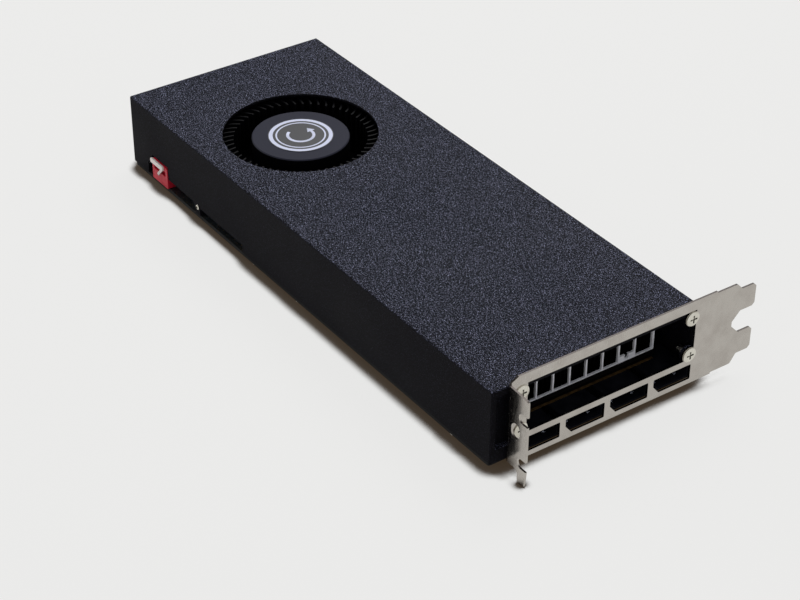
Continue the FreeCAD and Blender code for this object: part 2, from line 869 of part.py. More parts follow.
def motor_board():
    """Round drive board under the stator."""
    top = motor_board_z + motor_board_thickness
    return tube(motor_board_radius, tube_radius + tube_wall, fan_x, fan_y, motor_board_z, top)


def motor_stator():
    """Laminated stator with one head on each tooth."""
    z0 = stator_low_z
    z1 = z0 + stator_height
    core = [post(tube_radius + tube_wall + 2.5, fan_x, fan_y, z0, z1)]
    head_ring = tube(stator_radius, stator_radius - tooth_head, fan_x, fan_y, z0, z1)
    step = 360.0 / stator_teeth
    for i in range(stator_teeth):
        tooth = box(0, stator_radius - 0.4, -tooth_width / 2, tooth_width / 2, z0, z1)
        tooth.rotate(V(0, 0, 0), V(0, 0, 1), i * step)
        tooth.translate(V(fan_x, fan_y, 0))
        core.append(tooth)
    gaps = []
    for i in range(stator_teeth):
        gap = box(stator_radius - tooth_head - 1, stator_radius + 1, -0.9, 0.9, z0 - 1, z1 + 1)
        gap.rotate(V(0, 0, 0), V(0, 0, 1), (i + 0.5) * step)
        gap.translate(V(fan_x, fan_y, 0))
        gaps.append(gap)
    core.append(head_ring)
    bore = post(tube_radius + tube_wall, fan_x, fan_y, z0 - 1, z1 + 1)
    return cut(join(core), gaps + [bore])


def stator_windings():
    """One copper coil round each stator tooth."""
    step = 360.0 / stator_teeth
    r0 = tube_radius + tube_wall + 2.5 + 0.9
    r1 = stator_radius - tooth_head - 0.3
    half = tooth_width / 2
    coils = []
    for i in range(stator_teeth):
        outside = box(
            r0,
            r1,
            -half - winding_thickness,
            half + winding_thickness,
            stator_low_z - winding_thickness,
            stator_low_z + stator_height + winding_thickness,
        )
        narrow = math.tan(math.radians(step / 2))
        wedge = plate_xy([(0, 0, 0), (r1 + 1, -(r1 + 1) * narrow + 0.3, 0), (r1 + 1, (r1 + 1) * narrow - 0.3, 0)], 0, 40)
        coil = outside.common(wedge)
        coil = coil.cut(box(r0 - 1, r1 + 1, -half, half, stator_low_z, stator_low_z + stator_height))
        coil.rotate(V(0, 0, 0), V(0, 0, 1), i * step)
        coil.translate(V(fan_x, fan_y, 0))
        coils.append(coil)
    return group(coils)


def blade(index):
    """One bowed impeller blade, leaning from the inner to the outer radius."""
    middle_radius = (blade_inner_radius + impeller_radius) / 2
    reach = (impeller_radius - blade_inner_radius) / 2 - 0.05
    slope = math.tan(math.radians(blade_lean))
    half = blade_thickness / 2

    def spot(share, side):
        """Point at a share of the blade from -1 at the inner end to 1 at the outer end."""
        radial = middle_radius + share * reach
        across = share * reach * slope - blade_bow * (1 - share * share) + side * half
        return V(radial, across, impeller_low_z + impeller_floor / 2)

    edges = [
        Part.Arc(spot(-1, -1), spot(0, -1), spot(1, -1)).toShape(),
        Part.LineSegment(spot(1, -1), spot(1, 1)).toShape(),
        Part.Arc(spot(1, 1), spot(0, 1), spot(-1, 1)).toShape(),
        Part.LineSegment(spot(-1, 1), spot(-1, -1)).toShape(),
    ]
    height = blade_top_z - impeller_low_z - impeller_floor / 2
    shape = Part.Face(Part.Wire(edges)).extrude(V(0, 0, height))
    shape.rotate(V(0, 0, 0), V(0, 0, 1), index * 360.0 / blade_count)
    shape.translate(V(fan_x, fan_y, 0))
    return shape


def impeller():
    """Moulded fan wheel: hub cup, floor disc, blades and tip ring."""
    inner = hub_radius - hub_wall
    section = Part.makePolygon(
        [
            V(boss_radius, 0, hub_under_z),
            V(inner, 0, hub_under_z),
            V(inner, 0, impeller_low_z),
            V(impeller_radius, 0, impeller_low_z),
            V(impeller_radius, 0, impeller_low_z + impeller_floor),
            V(hub_radius + 0.8, 0, impeller_low_z + impeller_floor + 0.6),
            V(hub_radius, 0, impeller_low_z + impeller_floor + 2.0),
            V(hub_radius, 0, hub_top_z - hub_bevel),
            V(hub_radius - hub_bevel, 0, hub_top_z),
            V(0, 0, hub_top_z),
            V(0, 0, boss_low_z + boss_depth),
            V(shaft_radius, 0, boss_low_z + boss_depth),
            V(shaft_radius, 0, boss_low_z),
            V(boss_radius, 0, boss_low_z),
            V(boss_radius, 0, hub_under_z),
        ]
    )
    wheel = Part.Face(section).revolve(V(0, 0, 0), V(0, 0, 1), 360)
    wheel.translate(V(fan_x, fan_y, 0))
    ring = tube(
        impeller_radius,
        impeller_radius - blade_ring_wall,
        fan_x,
        fan_y,
        blade_top_z - blade_ring_height,
        blade_top_z,
    )
    blades = [blade(i) for i in range(blade_count)]
    return wheel.multiFuse(blades + [ring]).removeSplitter()


def rotor_cup():
    """Drawn steel cup that backs the magnet, under the hub face."""
    outer = hub_radius - hub_wall
    low = stator_low_z
    wall = tube(outer, outer - rotor_sheet, fan_x, fan_y, low, hub_under_z)
    plate = tube(outer, boss_radius, fan_x, fan_y, hub_under_z - rotor_sheet, hub_under_z)
    return join([wall, plate])


def magnet_ring():
    """Ring magnet inside the rotor cup."""
    outer = hub_radius - hub_wall - rotor_sheet
    return tube(outer, outer - magnet_wall, fan_x, fan_y, stator_low_z, stator_low_z + magnet_height)


def fan_shaft():
    """Steel shaft pressed in the hub's boss, with a rounded thrust end."""
    low = thrust_z + thrust_gap
    shaft = post(shaft_radius, fan_x, fan_y, low, boss_low_z + boss_depth)
    end = [e for e in shaft.Edges if e.Curve.TypeId == "Part::GeomCircle" and e.Vertexes[0].Z < low + 0.01]
    return shaft.makeFillet(0.6, end)


def hub_label():
    """Thin round badge blank on the hub face."""
    return post(label_radius, fan_x, fan_y, hub_top_z, hub_top_z + label_thickness)


# ---------------------------------------------------------------- heat sink
def sink_plate_shape():
    """Copper base plate that stands on the processor die."""
    corners = [
        (sink_x0, sink_y0, 2.0),
        (sink_x1, sink_y0, 2.0),
        (sink_x1, sink_y1, 2.0),
        (sink_x0, sink_y1, 2.0),
    ]
    plate = plate_xy(corners, sink_z0, fin_z0)
    holes = [post(screw_radius + thread_clearance, x, y, sink_z0 - 1, fin_z0 - 0.6) for x, y in retention_screws]
    return cut(plate, holes)


def fin_stack():
    """Fins on a shared foil, undercut above the display sockets."""
    step = (sink_width - fin_thickness) / (fin_count - 1)
    points = [(sink_y0, fin_z0)]
    for i in range(fin_count):
        y = sink_y0 + i * step
        points.append((y, fin_top_z))
        points.append((y + fin_thickness, fin_top_z))
        if i < fin_count - 1:
            points.append((y + fin_thickness, fin_z0 + fin_foil))
            points.append((y + step, fin_z0 + fin_foil))
    points.append((sink_y1, fin_z0))
    comb = plate_yz([(y, z, 0) for y, z in points], sink_x0, sink_x1)
    nose = []
    for i in range(fin_count):
        y = sink_y0 + i * step
        nose.append(box(sink_x1 - 1, fin_x1, y, y + fin_thickness, overhang_z, fin_top_z))
    return join([comb] + nose)


def outlet_guide():
    """Pressed aluminium ladder in front of the fins, with a tagged cell and returned ends."""
    z0 = overhang_z + 0.4
    top = shroud_under_z - 0.2
    y1 = sink_y1 + guide_sheet
    y0 = sink_y0 - guide_sheet
    frame = box(guide_x0, guide_x1, y0, y1, z0, top)
    cells = []
    edge = y1 - guide_sheet
    number = 0
    while edge - guide_pitch + guide_bar > y0 + guide_sheet:
        pitch = guide_pitch + guide_end_cell if number == 0 else guide_pitch
        floor = z0 + guide_rail
        if number == guide_tag_cell - 1:
            floor += guide_tag_height
            middle = edge - (pitch - guide_bar) / 2
            cells.append(rod(guide_tag_hole, guide_x0 - 1, guide_x1 + 1, middle, floor - guide_tag_hole * 0.8))
        cells.append(box(guide_x0 - 1, guide_x1 + 1, edge - pitch + guide_bar, edge, floor, top - 1.4))
        edge -= pitch
        number += 1
    ladder = cut(frame, cells)
    returns = [
        box(guide_x0 - guide_return, guide_x0 + 0.2, y0, y0 + guide_sheet - 0.2, z0, top),
        box(guide_x0 - guide_return, guide_x0 + 0.2, y1 - guide_sheet + 0.2, y1, z0, top),
    ]
    return join([ladder] + returns)


def socket_ground_strip():
    """Copper strip that lies on the display sockets under the outlet guide."""
    x0 = bracket_x - socket_gap - socket_depth
    return box(x0, guide_x1 + ground_strip_lead, sink_y0, sink_y1, socket_height, socket_height + ground_strip)


def processor_substrate():
    """Processor carrier soldered to the board."""
    half = substrate_size / 2
    return box(
        processor_x - half, processor_x + half, processor_y - half, processor_y + half, 0, substrate_thickness
    )


def processor_die():
    """Bare die on the carrier, in contact with the base plate."""
    half = die_size / 2
    return box(
        processor_x - half, processor_x + half, processor_y - half, processor_y + half, substrate_thickness, sink_z0
    )


def memory_places():
    """Middles and turns of the memory packages round the processor."""
    places = []
    for side in (-1, 1):
        for step in (-0.5, 0.5):
            places.append((processor_x + side * memory_offset, processor_y + 2 * step * memory_spread / 2, False))
            across = sink_width / 2 - memory_edge - memory_width / 2
            places.append((processor_x + 2 * step * memory_spread / 2, processor_y + side * across, True))
    return places


def memory_blocks(z0, z1, inset):
    """Block on each memory place between two heights."""
    blocks = []
    for x, y, turned in memory_places():
        half_x = (memory_length if turned else memory_width) / 2 - inset
        half_y = (memory_width if turned else memory_length) / 2 - inset
        blocks.append(box(x - half_x, x + half_x, y - half_y, y + half_y, z0, z1))
    return group(blocks)


# ---------------------------------------------------------------- display sockets
def display_shell(y):
    """Plated shell of one display socket, open at the front."""
    x1 = bracket_x - socket_gap
    x0 = x1 - socket_depth
    outer = display_cutout(y, socket_width, socket_height, 0, x0, x1)
    inner = display_cutout(
        y, socket_width - 2 * socket_wall, socket_height - 2 * socket_wall, socket_wall, x0 - 1, x1 + 1
    )
    return outer.cut(inner)


def display_insert(y):
    """Moulded insert of one display socket: back block and contact tongue."""
    x1 = bracket_x - socket_gap
    x0 = x1 - socket_depth
    back = display_cutout(
        y, socket_width - 2 * socket_wall, socket_height - 2 * socket_wall, socket_wall, x0, x0 + socket_back
    )
    mid = socket_height / 2 + 0.3
    half = socket_tongue_width / 2
    tongue = box(
        x0 + socket_back - 0.5, x1 - socket_tongue_recess, y - half, y + half, mid - socket_tongue / 2,
        mid + socket_tongue / 2,
    )
    return join([back, tongue])


def display_contacts():
    """Gold contacts on both faces of the four socket tongues."""
    x0 = bracket_x - socket_gap - socket_depth + socket_back
    x1 = bracket_x - socket_gap - socket_tongue_recess - 0.6
    mid = socket_height / 2 + 0.3
    strips = []
    for y in display_ys:
        for i in range(socket_contact_count):
            across = y + (i - (socket_contact_count - 1) / 2) * socket_contact_pitch
            for z in (mid + socket_tongue / 2, mid - socket_tongue / 2 - 0.12):
                strips.append(box(x0, x1, across - 0.3, across + 0.3, z, z + 0.12))
    return group(strips)


# ---------------------------------------------------------------- power and side connectors
def power_wells():
    """Middles of the power socket's wells across Y and Z."""
    y_mid = power_y
    z_mid = power_height / 2
    wells = []
    for column in range(power_columns):
        y = y_mid + (column - (power_columns - 1) / 2) * power_pitch
        for z in (z_mid - power_pitch / 2, z_mid + power_pitch / 2):
            wells.append((y, z))
    return wells


def power_socket():
    """Rear power socket with two rows of wells and a latch ramp."""
    y_mid = power_y
    half = power_width / 2
    x0 = shroud_x0 + 0.2
    body = box(x0, x0 + power_depth, y_mid - half, y_mid + half, 0, power_height)
    ramp = plate_xz(
        [(x0 + 1.5, power_height, 0), (x0 + 5.0, power_height, 0), (x0 + 5.0, power_height + 1.3, 0)],
        y_mid - 2.0,
        y_mid + 2.0,
    )
    wells = [
        box(x0 - 1, x0 + power_well_depth, y - power_well / 2, y + power_well / 2, z - power_well / 2, z + power_well / 2)
        for y, z in power_wells()
    ]
    return cut(join([body, ramp]), wells)


def power_pins():
    """Round power pins standing in the wells."""
    x0 = shroud_x0 + 0.2 + 1.2
    x1 = shroud_x0 + 0.2 + power_well_depth
    return group([rod(power_pin, x0, x1, y, z) for y, z in power_wells()])


side_block_x1 = shroud_x0 + connector_notch_end - 0.2
side_block_x0 = side_block_x1 - side_block_length
side_block_y0 = shroud_y0 - side_block_proud


def side_connector():
    """Red moulded connector block that fills the notch in the side wall."""
    corners = [
        (side_block_x0, 0, 0.4),
        (side_block_x1, 0, 0.4),
        (side_block_x1, side_block_height, 0.8),
        (side_block_x0, side_block_height, 0.8),
    ]
    block = plate_xz(corners, side_block_y0, side_block_y0 + side_block_depth)
    pocket = box(
        side_block_x0 + 1.6,
        side_block_x1 - 1.6,
        side_block_y0 - 1,
        side_block_y0 + 1.2,
        side_block_height - clip_height - 2.6,
        side_block_height - clip_height,
    )
    return block.cut(pocket)


def side_connector_clip():
    """Pale locking clip along the connector's upper edge, with its slanting arm."""
    z1 = side_block_height
    z0 = z1 - clip_height
    y1 = side_block_y0
    y0 = y1 - clip_proud
    x0 = side_block_x0 - clip_lead
    x1 = x0 + clip_length
    bar = plate_xz([(x0, z0, 0.5), (x1, z0, 0.5), (x1, z1, 0.7), (x0, z1, 0.7)], y0, y1)
    arm = plate_xz(
        [
            (x1 - 0.2, z0 + 0.5, 0),
            (x1 - 1.8, z0 + 0.5, 0),
            (x1 - 1.8 - clip_arm * 0.6, z0 - clip_arm * 0.55, 0.2),
            (x1 - 0.8 - clip_arm * 0.6, z0 - clip_arm * 0.55 - 0.9, 0.2),
        ],
        y1 - clip_proud * 0.6,
        y1,
    )
    return join([bar, arm])


# ---------------------------------------------------------------- board parts
def choke_places():
    """Middles of the regulator chokes in one row across the board."""
    x = housing_front_x - choke_row_gap
    middle = shroud_y0 + shroud_width / 2
    return [(x, middle + (i - (choke_count - 1) / 2) * choke_pitch) for i in range(choke_count)]


def power_chokes():
    """Regulator chokes with cut corners."""
    half = choke_size / 2
    chokes = []
    for x, y in choke_places():
        corners = [(x - half, y - half, 0.9), (x + half, y - half, 0.9), (x + half, y + half, 0.9), (x - half, y + half, 0.9)]
        chokes.append(plate_xy(corners, 0, choke_height))
    return group(chokes)


def capacitors():
    """Polymer capacitors behind the chokes."""
    behind = choke_size / 2 + capacitor_gap + capacitor_radius
    return group([post(capacitor_radius, x - behind, y, 0, capacitor_height) for x, y in choke_places()])


def power_stages():
    """Switching stages between the chokes and the heat sink."""
    stages = []
    for x, y in choke_places():
        x0 = x + choke_size / 2 + power_stage_gap
        half = power_stage_width / 2
        stages.append(box(x0, x0 + power_stage_length, y - half, y + half, 0, power_stage_height))
    return group(stages)


def fan_header():
    """Small open-top header for the fan lead, on the board by the blower."""
    x0 = shroud_x0 + header_from_rear
    y0 = shroud_y0 + header_from_side
    x1 = x0 + header_width
    y1 = y0 + header_length
    wall = header_wall
    shell = box(x0, x1, y0, y1, 0, header_height)
    return shell.cut(box(x0 + wall, x1 - wall, y0 + wall, y1 - wall, wall, header_height + 1))


# ---------------------------------------------------------------- underside
def retention_plate():
    """Sprung cross under the board that pulls the heat sink down."""
    z1 = board_bottom_z
    z0 = z1 - retention_sheet
    reach = retention_span / 2 * math.sqrt(2)
    arms = [post(retention_hub, processor_x, processor_y, z0, z1)]
    for turn in (45, 135):
        arm = box(-reach, reach, -retention_arm / 2, retention_arm / 2, z0, z1)
        arm.rotate(V(0, 0, 0), V(0, 0, 1), turn)
        arm.translate(V(processor_x, processor_y, 0))
        arms.append(arm)
    for x, y in retention_screws:
        arms.append(post(retention_arm / 2, x, y, z0, z1))
    holes = [post(screw_radius + screw_clearance, x, y, z0 - 1, z1 + 1) for x, y in retention_screws]
    holes.append(post(retention_hub - 6.0, processor_x, processor_y, z0 - 1, z1 + 1))
    return cut(join(arms), holes)


def retention_screw_set():
    """Four low-head screws through the cross and the board into the base plate."""
    head_z = board_bottom_z - retention_sheet
    length = fin_z0 - 0.8 - head_z
    return group(
        [
            pan_screw(screw_radius, length, screw_head_radius, retention_head_height, V(x, y, head_z), V(0, 0, -1))
            for x, y in retention_screws
        ]
    )


def underside_screws(places, length):
    """Pan-head screws from under the board."""
    return group(
        [
            pan_screw(
                board_screw_radius, length, board_screw_head, board_screw_head_height, V(x, y, board_bottom_z), V(0, 0, -1)
            )
            for x, y in places
        ]
    )


def side_screw():
    """Small screw in the land between the two side slots."""
    place = V(shroud_x0 + side_screw_from_rear, shroud_y0, side_screw_z)
    return pan_screw(side_screw_radius, side_screw_length, side_screw_head, side_screw_height, place, V(0, -1, 0))


# ---------------------------------------------------------------- the card
def main():
    """Build and write every node."""
    os.makedirs("parts", exist_ok=True)
    save("shroud", shroud())
    save("circuit_board", circuit_board())
    save("edge_contacts", edge_contacts())
    save("io_bracket", io_bracket())
    save("bracket_screws", bracket_screws())
    for i, y in enumerate(display_ys, start=1):
        save(f"display_shell_{i}", display_shell(y))
        save(f"display_insert_{i}", display_insert(y))
    save("display_contacts", display_contacts())
    save("socket_ground_strip", socket_ground_strip())
    save("sink_plate", sink_plate_shape())
    save("fin_stack", fin_stack())
    save("outlet_guide", outlet_guide())
    save("processor_substrate", processor_substrate())
    save("processor_die", processor_die())
    save("memory_chips", memory_blocks(0, memory_height, 0))
    save("memory_pads", memory_blocks(memory_height, sink_z0, 0.5))
    save("power_chokes", power_chokes())
    save("capacitors", capacitors())
    save("power_stages", power_stages())
    save("fan_header", fan_header())
    save("power_socket", power_socket())
    save("power_pins", power_pins())
    save("side_connector", side_connector())
    save("side_connector_clip", side_connector_clip())
    save("blower_housing", blower_housing())
    save("bearing_sleeve", bearing_sleeve())
    save("motor_board", motor_board())
    save("motor_stator", motor_stator())
    save("stator_windings", stator_windings())
    save("impeller", impeller())
    save("rotor_cup", rotor_cup())
    save("magnet_ring", magnet_ring())
    save("fan_shaft", fan_shaft())
    save("hub_label", hub_label())
    save("retention_plate", retention_plate())
    save("retention_screws", retention_screw_set())
    save("shroud_screws", underside_screws(board_screws, board_thickness + shroud_sheet + board_screw_bite))
    save("blower_screws", underside_screws(housing_feet, board_thickness + foot_screw_bite))
    save("side_screw", side_screw())


main()
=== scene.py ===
"""Finishes, printed badge, solder-side parts, floor, lamps and camera for an accelerator card."""
import logging
import math
import random
from dataclasses import dataclass, field, replace
from enum import Enum

import bmesh
import bpy
from mathutils import Euler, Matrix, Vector


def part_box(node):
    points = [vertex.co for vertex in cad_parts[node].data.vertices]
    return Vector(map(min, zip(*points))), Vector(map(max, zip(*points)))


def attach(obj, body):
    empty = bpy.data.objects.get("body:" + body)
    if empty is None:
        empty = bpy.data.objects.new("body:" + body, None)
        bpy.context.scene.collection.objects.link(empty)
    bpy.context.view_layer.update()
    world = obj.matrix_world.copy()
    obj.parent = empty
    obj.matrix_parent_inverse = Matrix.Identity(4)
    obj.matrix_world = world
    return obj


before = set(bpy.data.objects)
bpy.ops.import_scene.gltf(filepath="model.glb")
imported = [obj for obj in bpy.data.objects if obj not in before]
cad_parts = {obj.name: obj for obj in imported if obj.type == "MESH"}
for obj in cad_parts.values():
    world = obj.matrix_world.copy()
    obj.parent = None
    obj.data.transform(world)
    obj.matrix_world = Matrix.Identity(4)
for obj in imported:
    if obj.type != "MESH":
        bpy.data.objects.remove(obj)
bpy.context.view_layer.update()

LOG = logging.getLogger("accelerator_card")
MM = 0.001
BLACK, WHITE = "#000000", "#ffffff"
NOISE_LOW, NOISE_HIGH = 0.3, 0.7      # most of a noise texture's values lie between these
NOISE_SPAN = {"From Min": NOISE_LOW, "From Max": NOISE_HIGH}
SOCKETS = range(1, 5)         # the display sockets' numbers

Colour = tuple[float, float, float, float]
Pair = tuple[float, float]
Triple = tuple[float, float, float]
Inputs = dict[int | str, object]
Tree = bpy.types.NodeTree
Node = bpy.types.Node
Socket = bpy.types.NodeSocket
Mesh = bmesh.types.BMesh


# ---------------------------------------------------------------- shared helpers
def linear(hex_colour: str) -> Colour:
    """Turns an sRGB hex colour into linear light.

    Args:
        hex_colour: colour as "#rrggbb".

    Returns:
        Red, green, blue and an alpha of 1.
    """
    parts = [int(hex_colour[i:i + 2], 16) / 255 for i in (1, 3, 5)]
    red, green, blue = [p / 12.92 if p <= 0.04045 else ((p + 0.055) / 1.055) ** 2.4 for p in parts]
    return (red, green, blue, 1.0)


def per_size(size_mm: float) -> float:
    """Returns the texture scale whose features are size_mm across, for coordinates in metres."""
    return 1.0 / (size_mm * MM)


def feed(node: Node, inputs: Inputs) -> None:
    """Sets or links a node's inputs.

    Args:
        node: node that takes them.
        inputs: by name or number, a value, a hex colour, a socket, or a node that gives its first output.
    """
    for name, value in inputs.items():
        if isinstance(value, Node):
            value = value.outputs[0]
        elif isinstance(value, str):
            value = linear(value)
        if isinstance(value, Socket):
            node.id_data.links.new(value, node.inputs[name])
        else:
            node.inputs[name].default_value = value


def add(tree: Tree, kind: str, inputs: Inputs, settings: dict[str, object] | None = None,
        stops: list[tuple[float, str | Colour]] | None = None) -> Node:
    """Adds one shader node.

    Args:
        tree: tree that takes the node.
        kind: node type without "ShaderNode", such as "Bump".
        inputs: what its inputs take, as in feed.
        settings: attributes of the node and their values.
        stops: positions and colours of a colour ramp, hex or linear, in rising order.

    Returns:
        The new node.
    """
    made = tree.nodes.new("ShaderNode" + kind)
    for name, value in (settings or {}).items():
        setattr(made, name, value)
    for i, (position, colour) in enumerate(stops or ()):
        elements = made.color_ramp.elements
        stop = elements[i] if i < len(elements) else elements.new(position)
        stop.position, stop.color = position, linear(colour) if isinstance(colour, str) else colour
    feed(made, inputs)
    return made


def start(name: str) -> tuple[bpy.types.Material, Tree, Node, Socket]:
    """Starts a material.

    Args:
        name: the material's name.

    Returns:
        The material, its tree, its surface shader, and the place on the object, in metres.
    """
    material = bpy.data.materials.new(name)
    material.use_nodes = True
    tree = material.node_tree
    return material, tree, tree.nodes["Principled BSDF"], add(tree, "TexCoord", {}).outputs["Object"]


def seen_directly(tree: Tree) -> Node:
    """Tells rays that show a thing itself, straight or in metal and glass, from rays that light others.

    Args:
        tree: tree that takes the nodes.

    Returns:
        A node that gives 1 for the first kind and 0 for the second.
    """
    path = add(tree, "LightPath", {})
    sight = path.outputs["Is Camera Ray"]
    for also in ("Is Glossy Ray", "Is Transmission Ray"):
        sight = add(tree, "Math", {0: sight, 1: path.outputs[also]}, {"operation": "MAXIMUM"})
    return sight


def dress(nodes: list[str], material: bpy.types.Material) -> None:
    """Gives CAD nodes one material.

    Args:
        nodes: names of the nodes.
        material: their material.
    """
    for name in nodes:
        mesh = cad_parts[name].data
        mesh.materials.clear()
        mesh.materials.append(material)
        LOG.info("%s takes %s", name, material.name)


def skin(mesh: Mesh, rings: list[list[Triple]], open_start: bool = False) -> None:
    """Joins rings of corners into a closed skin.

    Args:
        mesh: mesh that takes the faces.
        rings: the corners of each ring in metres, as many in each and in the same order.
        open_start: whether the first ring is left open, where it meets another part.
    """
    rows = [[mesh.verts.new(corner) for corner in ring] for ring in rings]
    for one, two in zip(rows, rows[1:]):
        for i in range(len(one)):
            following = (i + 1) % len(one)
            mesh.faces.new((one[i], one[following], two[following], two[i]))
    if not open_start:
        mesh.faces.new(rows[0])
    mesh.faces.new(rows[-1])


def piece(name: str, mesh: Mesh, material: bpy.types.Material, body: str) -> bpy.types.Object:
    """Turns a mesh into a piece that rides on a body.

    Args:
        name: the piece's name.
        mesh: its faces, in metres in the row frame.
        material: its material.
        body: body that carries it.

    Returns:
        The new object.
    """
    bmesh.ops.recalc_face_normals(mesh, faces=mesh.faces)
    data = bpy.data.meshes.new(name)
    mesh.to_mesh(data)
    mesh.free()
    data.materials.append(material)
    made = bpy.data.objects.new(name, data)
    bpy.context.scene.collection.objects.link(made)
    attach(made, body)
    LOG.info("%s has %d faces and rides on %s", name, len(data.polygons), body)
    return made


# ---------------------------------------------------------------- finishes
class Process(Enum):
    """How a surface was made, as the size of its grain and the depth of its relief, both in mm."""

    SPARK_ERODED = (0.35, 0.035)      # fine even grain that an eroded mould leaves
    POLISHED_MOULD = (1.6, 0.010)     # smooth, with only slow waves
    ROLLED = (0.5, 0.004)             # hair-fine lines from the rolls
    BARREL_PLATED = (0.9, 0.012)      # soft dimples from tumbling
    SINTERED = (0.25, 0.030)          # dry grain of pressed powder


@dataclass(frozen=True)
class PowderCoat:
    """Polyester powder coat baked on steel sheet: a dark, even, sandy grain with pale flecks that glint."""

    name: str = "polyester_powder_coat"
    dark: str = "#06070a"
    body: str = "#13141a"
    shade: str = "#0b0a0d"        # painted shade: the darker colour of upright walls, which the lamps light less than the top
    fleck: str = "#bec3e6"
    grain_mm: float = 0.40        # real grains are near 0.3 mm, drawn coarser so that they show
    grain_span: Pair = (0.32, 0.62)
    fleck_mm: float = 0.43
    fleck_span: Pair = (0.57, 0.74)
    cloud_mm: float = 45.0        # slow change of gloss that a spray gun leaves
    roughness: Pair = (0.52, 0.62)
    depth_mm: float = 0.08
    rise: Pair = (0.2, 0.9)       # upward share of a face's normal over which the top's painted light, grain and flecks, comes in
    least: float = 0.06           # what upright walls keep of that painted light

    def build(self) -> bpy.types.Material:
        """Makes the coat, with more grain and fleck as painted light on faces that look up, and painted shade
        on upright walls.

        Returns:
            The coat's material.
        """
        material, tree, shader, where = start(self.name)
        grain = add(tree, "TexNoise", {
            "Vector": where, "Scale": per_size(self.grain_mm), "Detail": 3.0, "Roughness": 0.7,
        })
        cells = add(tree, "TexNoise", {
            "Vector": where, "Scale": per_size(self.fleck_mm), "Detail": 2.0, "Roughness": 0.9,
        })
        cloud = add(tree, "TexNoise", {"Vector": where, "Scale": per_size(self.cloud_mm), "Detail": 2.0})
        # painted light and shade: upward faces get the lit grain and flecks, upright walls the shade colour
        way = add(tree, "SeparateXYZ", {"Vector": add(tree, "NewGeometry", {}).outputs["True Normal"]})
        top_light_share = add(tree, "MapRange", {
            "Value": way.outputs["Z"], "From Min": self.rise[0], "From Max": self.rise[1],
            "To Min": self.least, "To Max": 1.0,
        })
        hollow, crest = self.grain_span
        ground = add(tree, "ValToRGB", {"Fac": grain}, stops=[(hollow, self.dark), (crest, self.body)])
        plain = add(tree, "MixRGB", {"Fac": top_light_share, "Color1": self.shade, "Color2": ground})
        edge, core = self.fleck_span
        spots = add(tree, "ValToRGB", {"Fac": cells}, stops=[(edge, BLACK), (core, WHITE)])
        share = add(tree, "Math", {0: spots, 1: top_light_share}, {"operation": "MULTIPLY"})
        low, high = self.roughness
        feed(shader, {
            "Base Color": add(tree, "MixRGB", {"Fac": share, "Color1": plain, "Color2": self.fleck}),
            "Roughness": add(tree, "MapRange", {**NOISE_SPAN, "Value": cloud, "To Min": low, "To Max": high}),
            "IOR": 1.5,
            "Specular IOR Level": 0.03,
            "Normal": add(tree, "Bump", {"Height": grain, "Distance": self.depth_mm * MM, "Strength": 0.6}),
        })
        return material


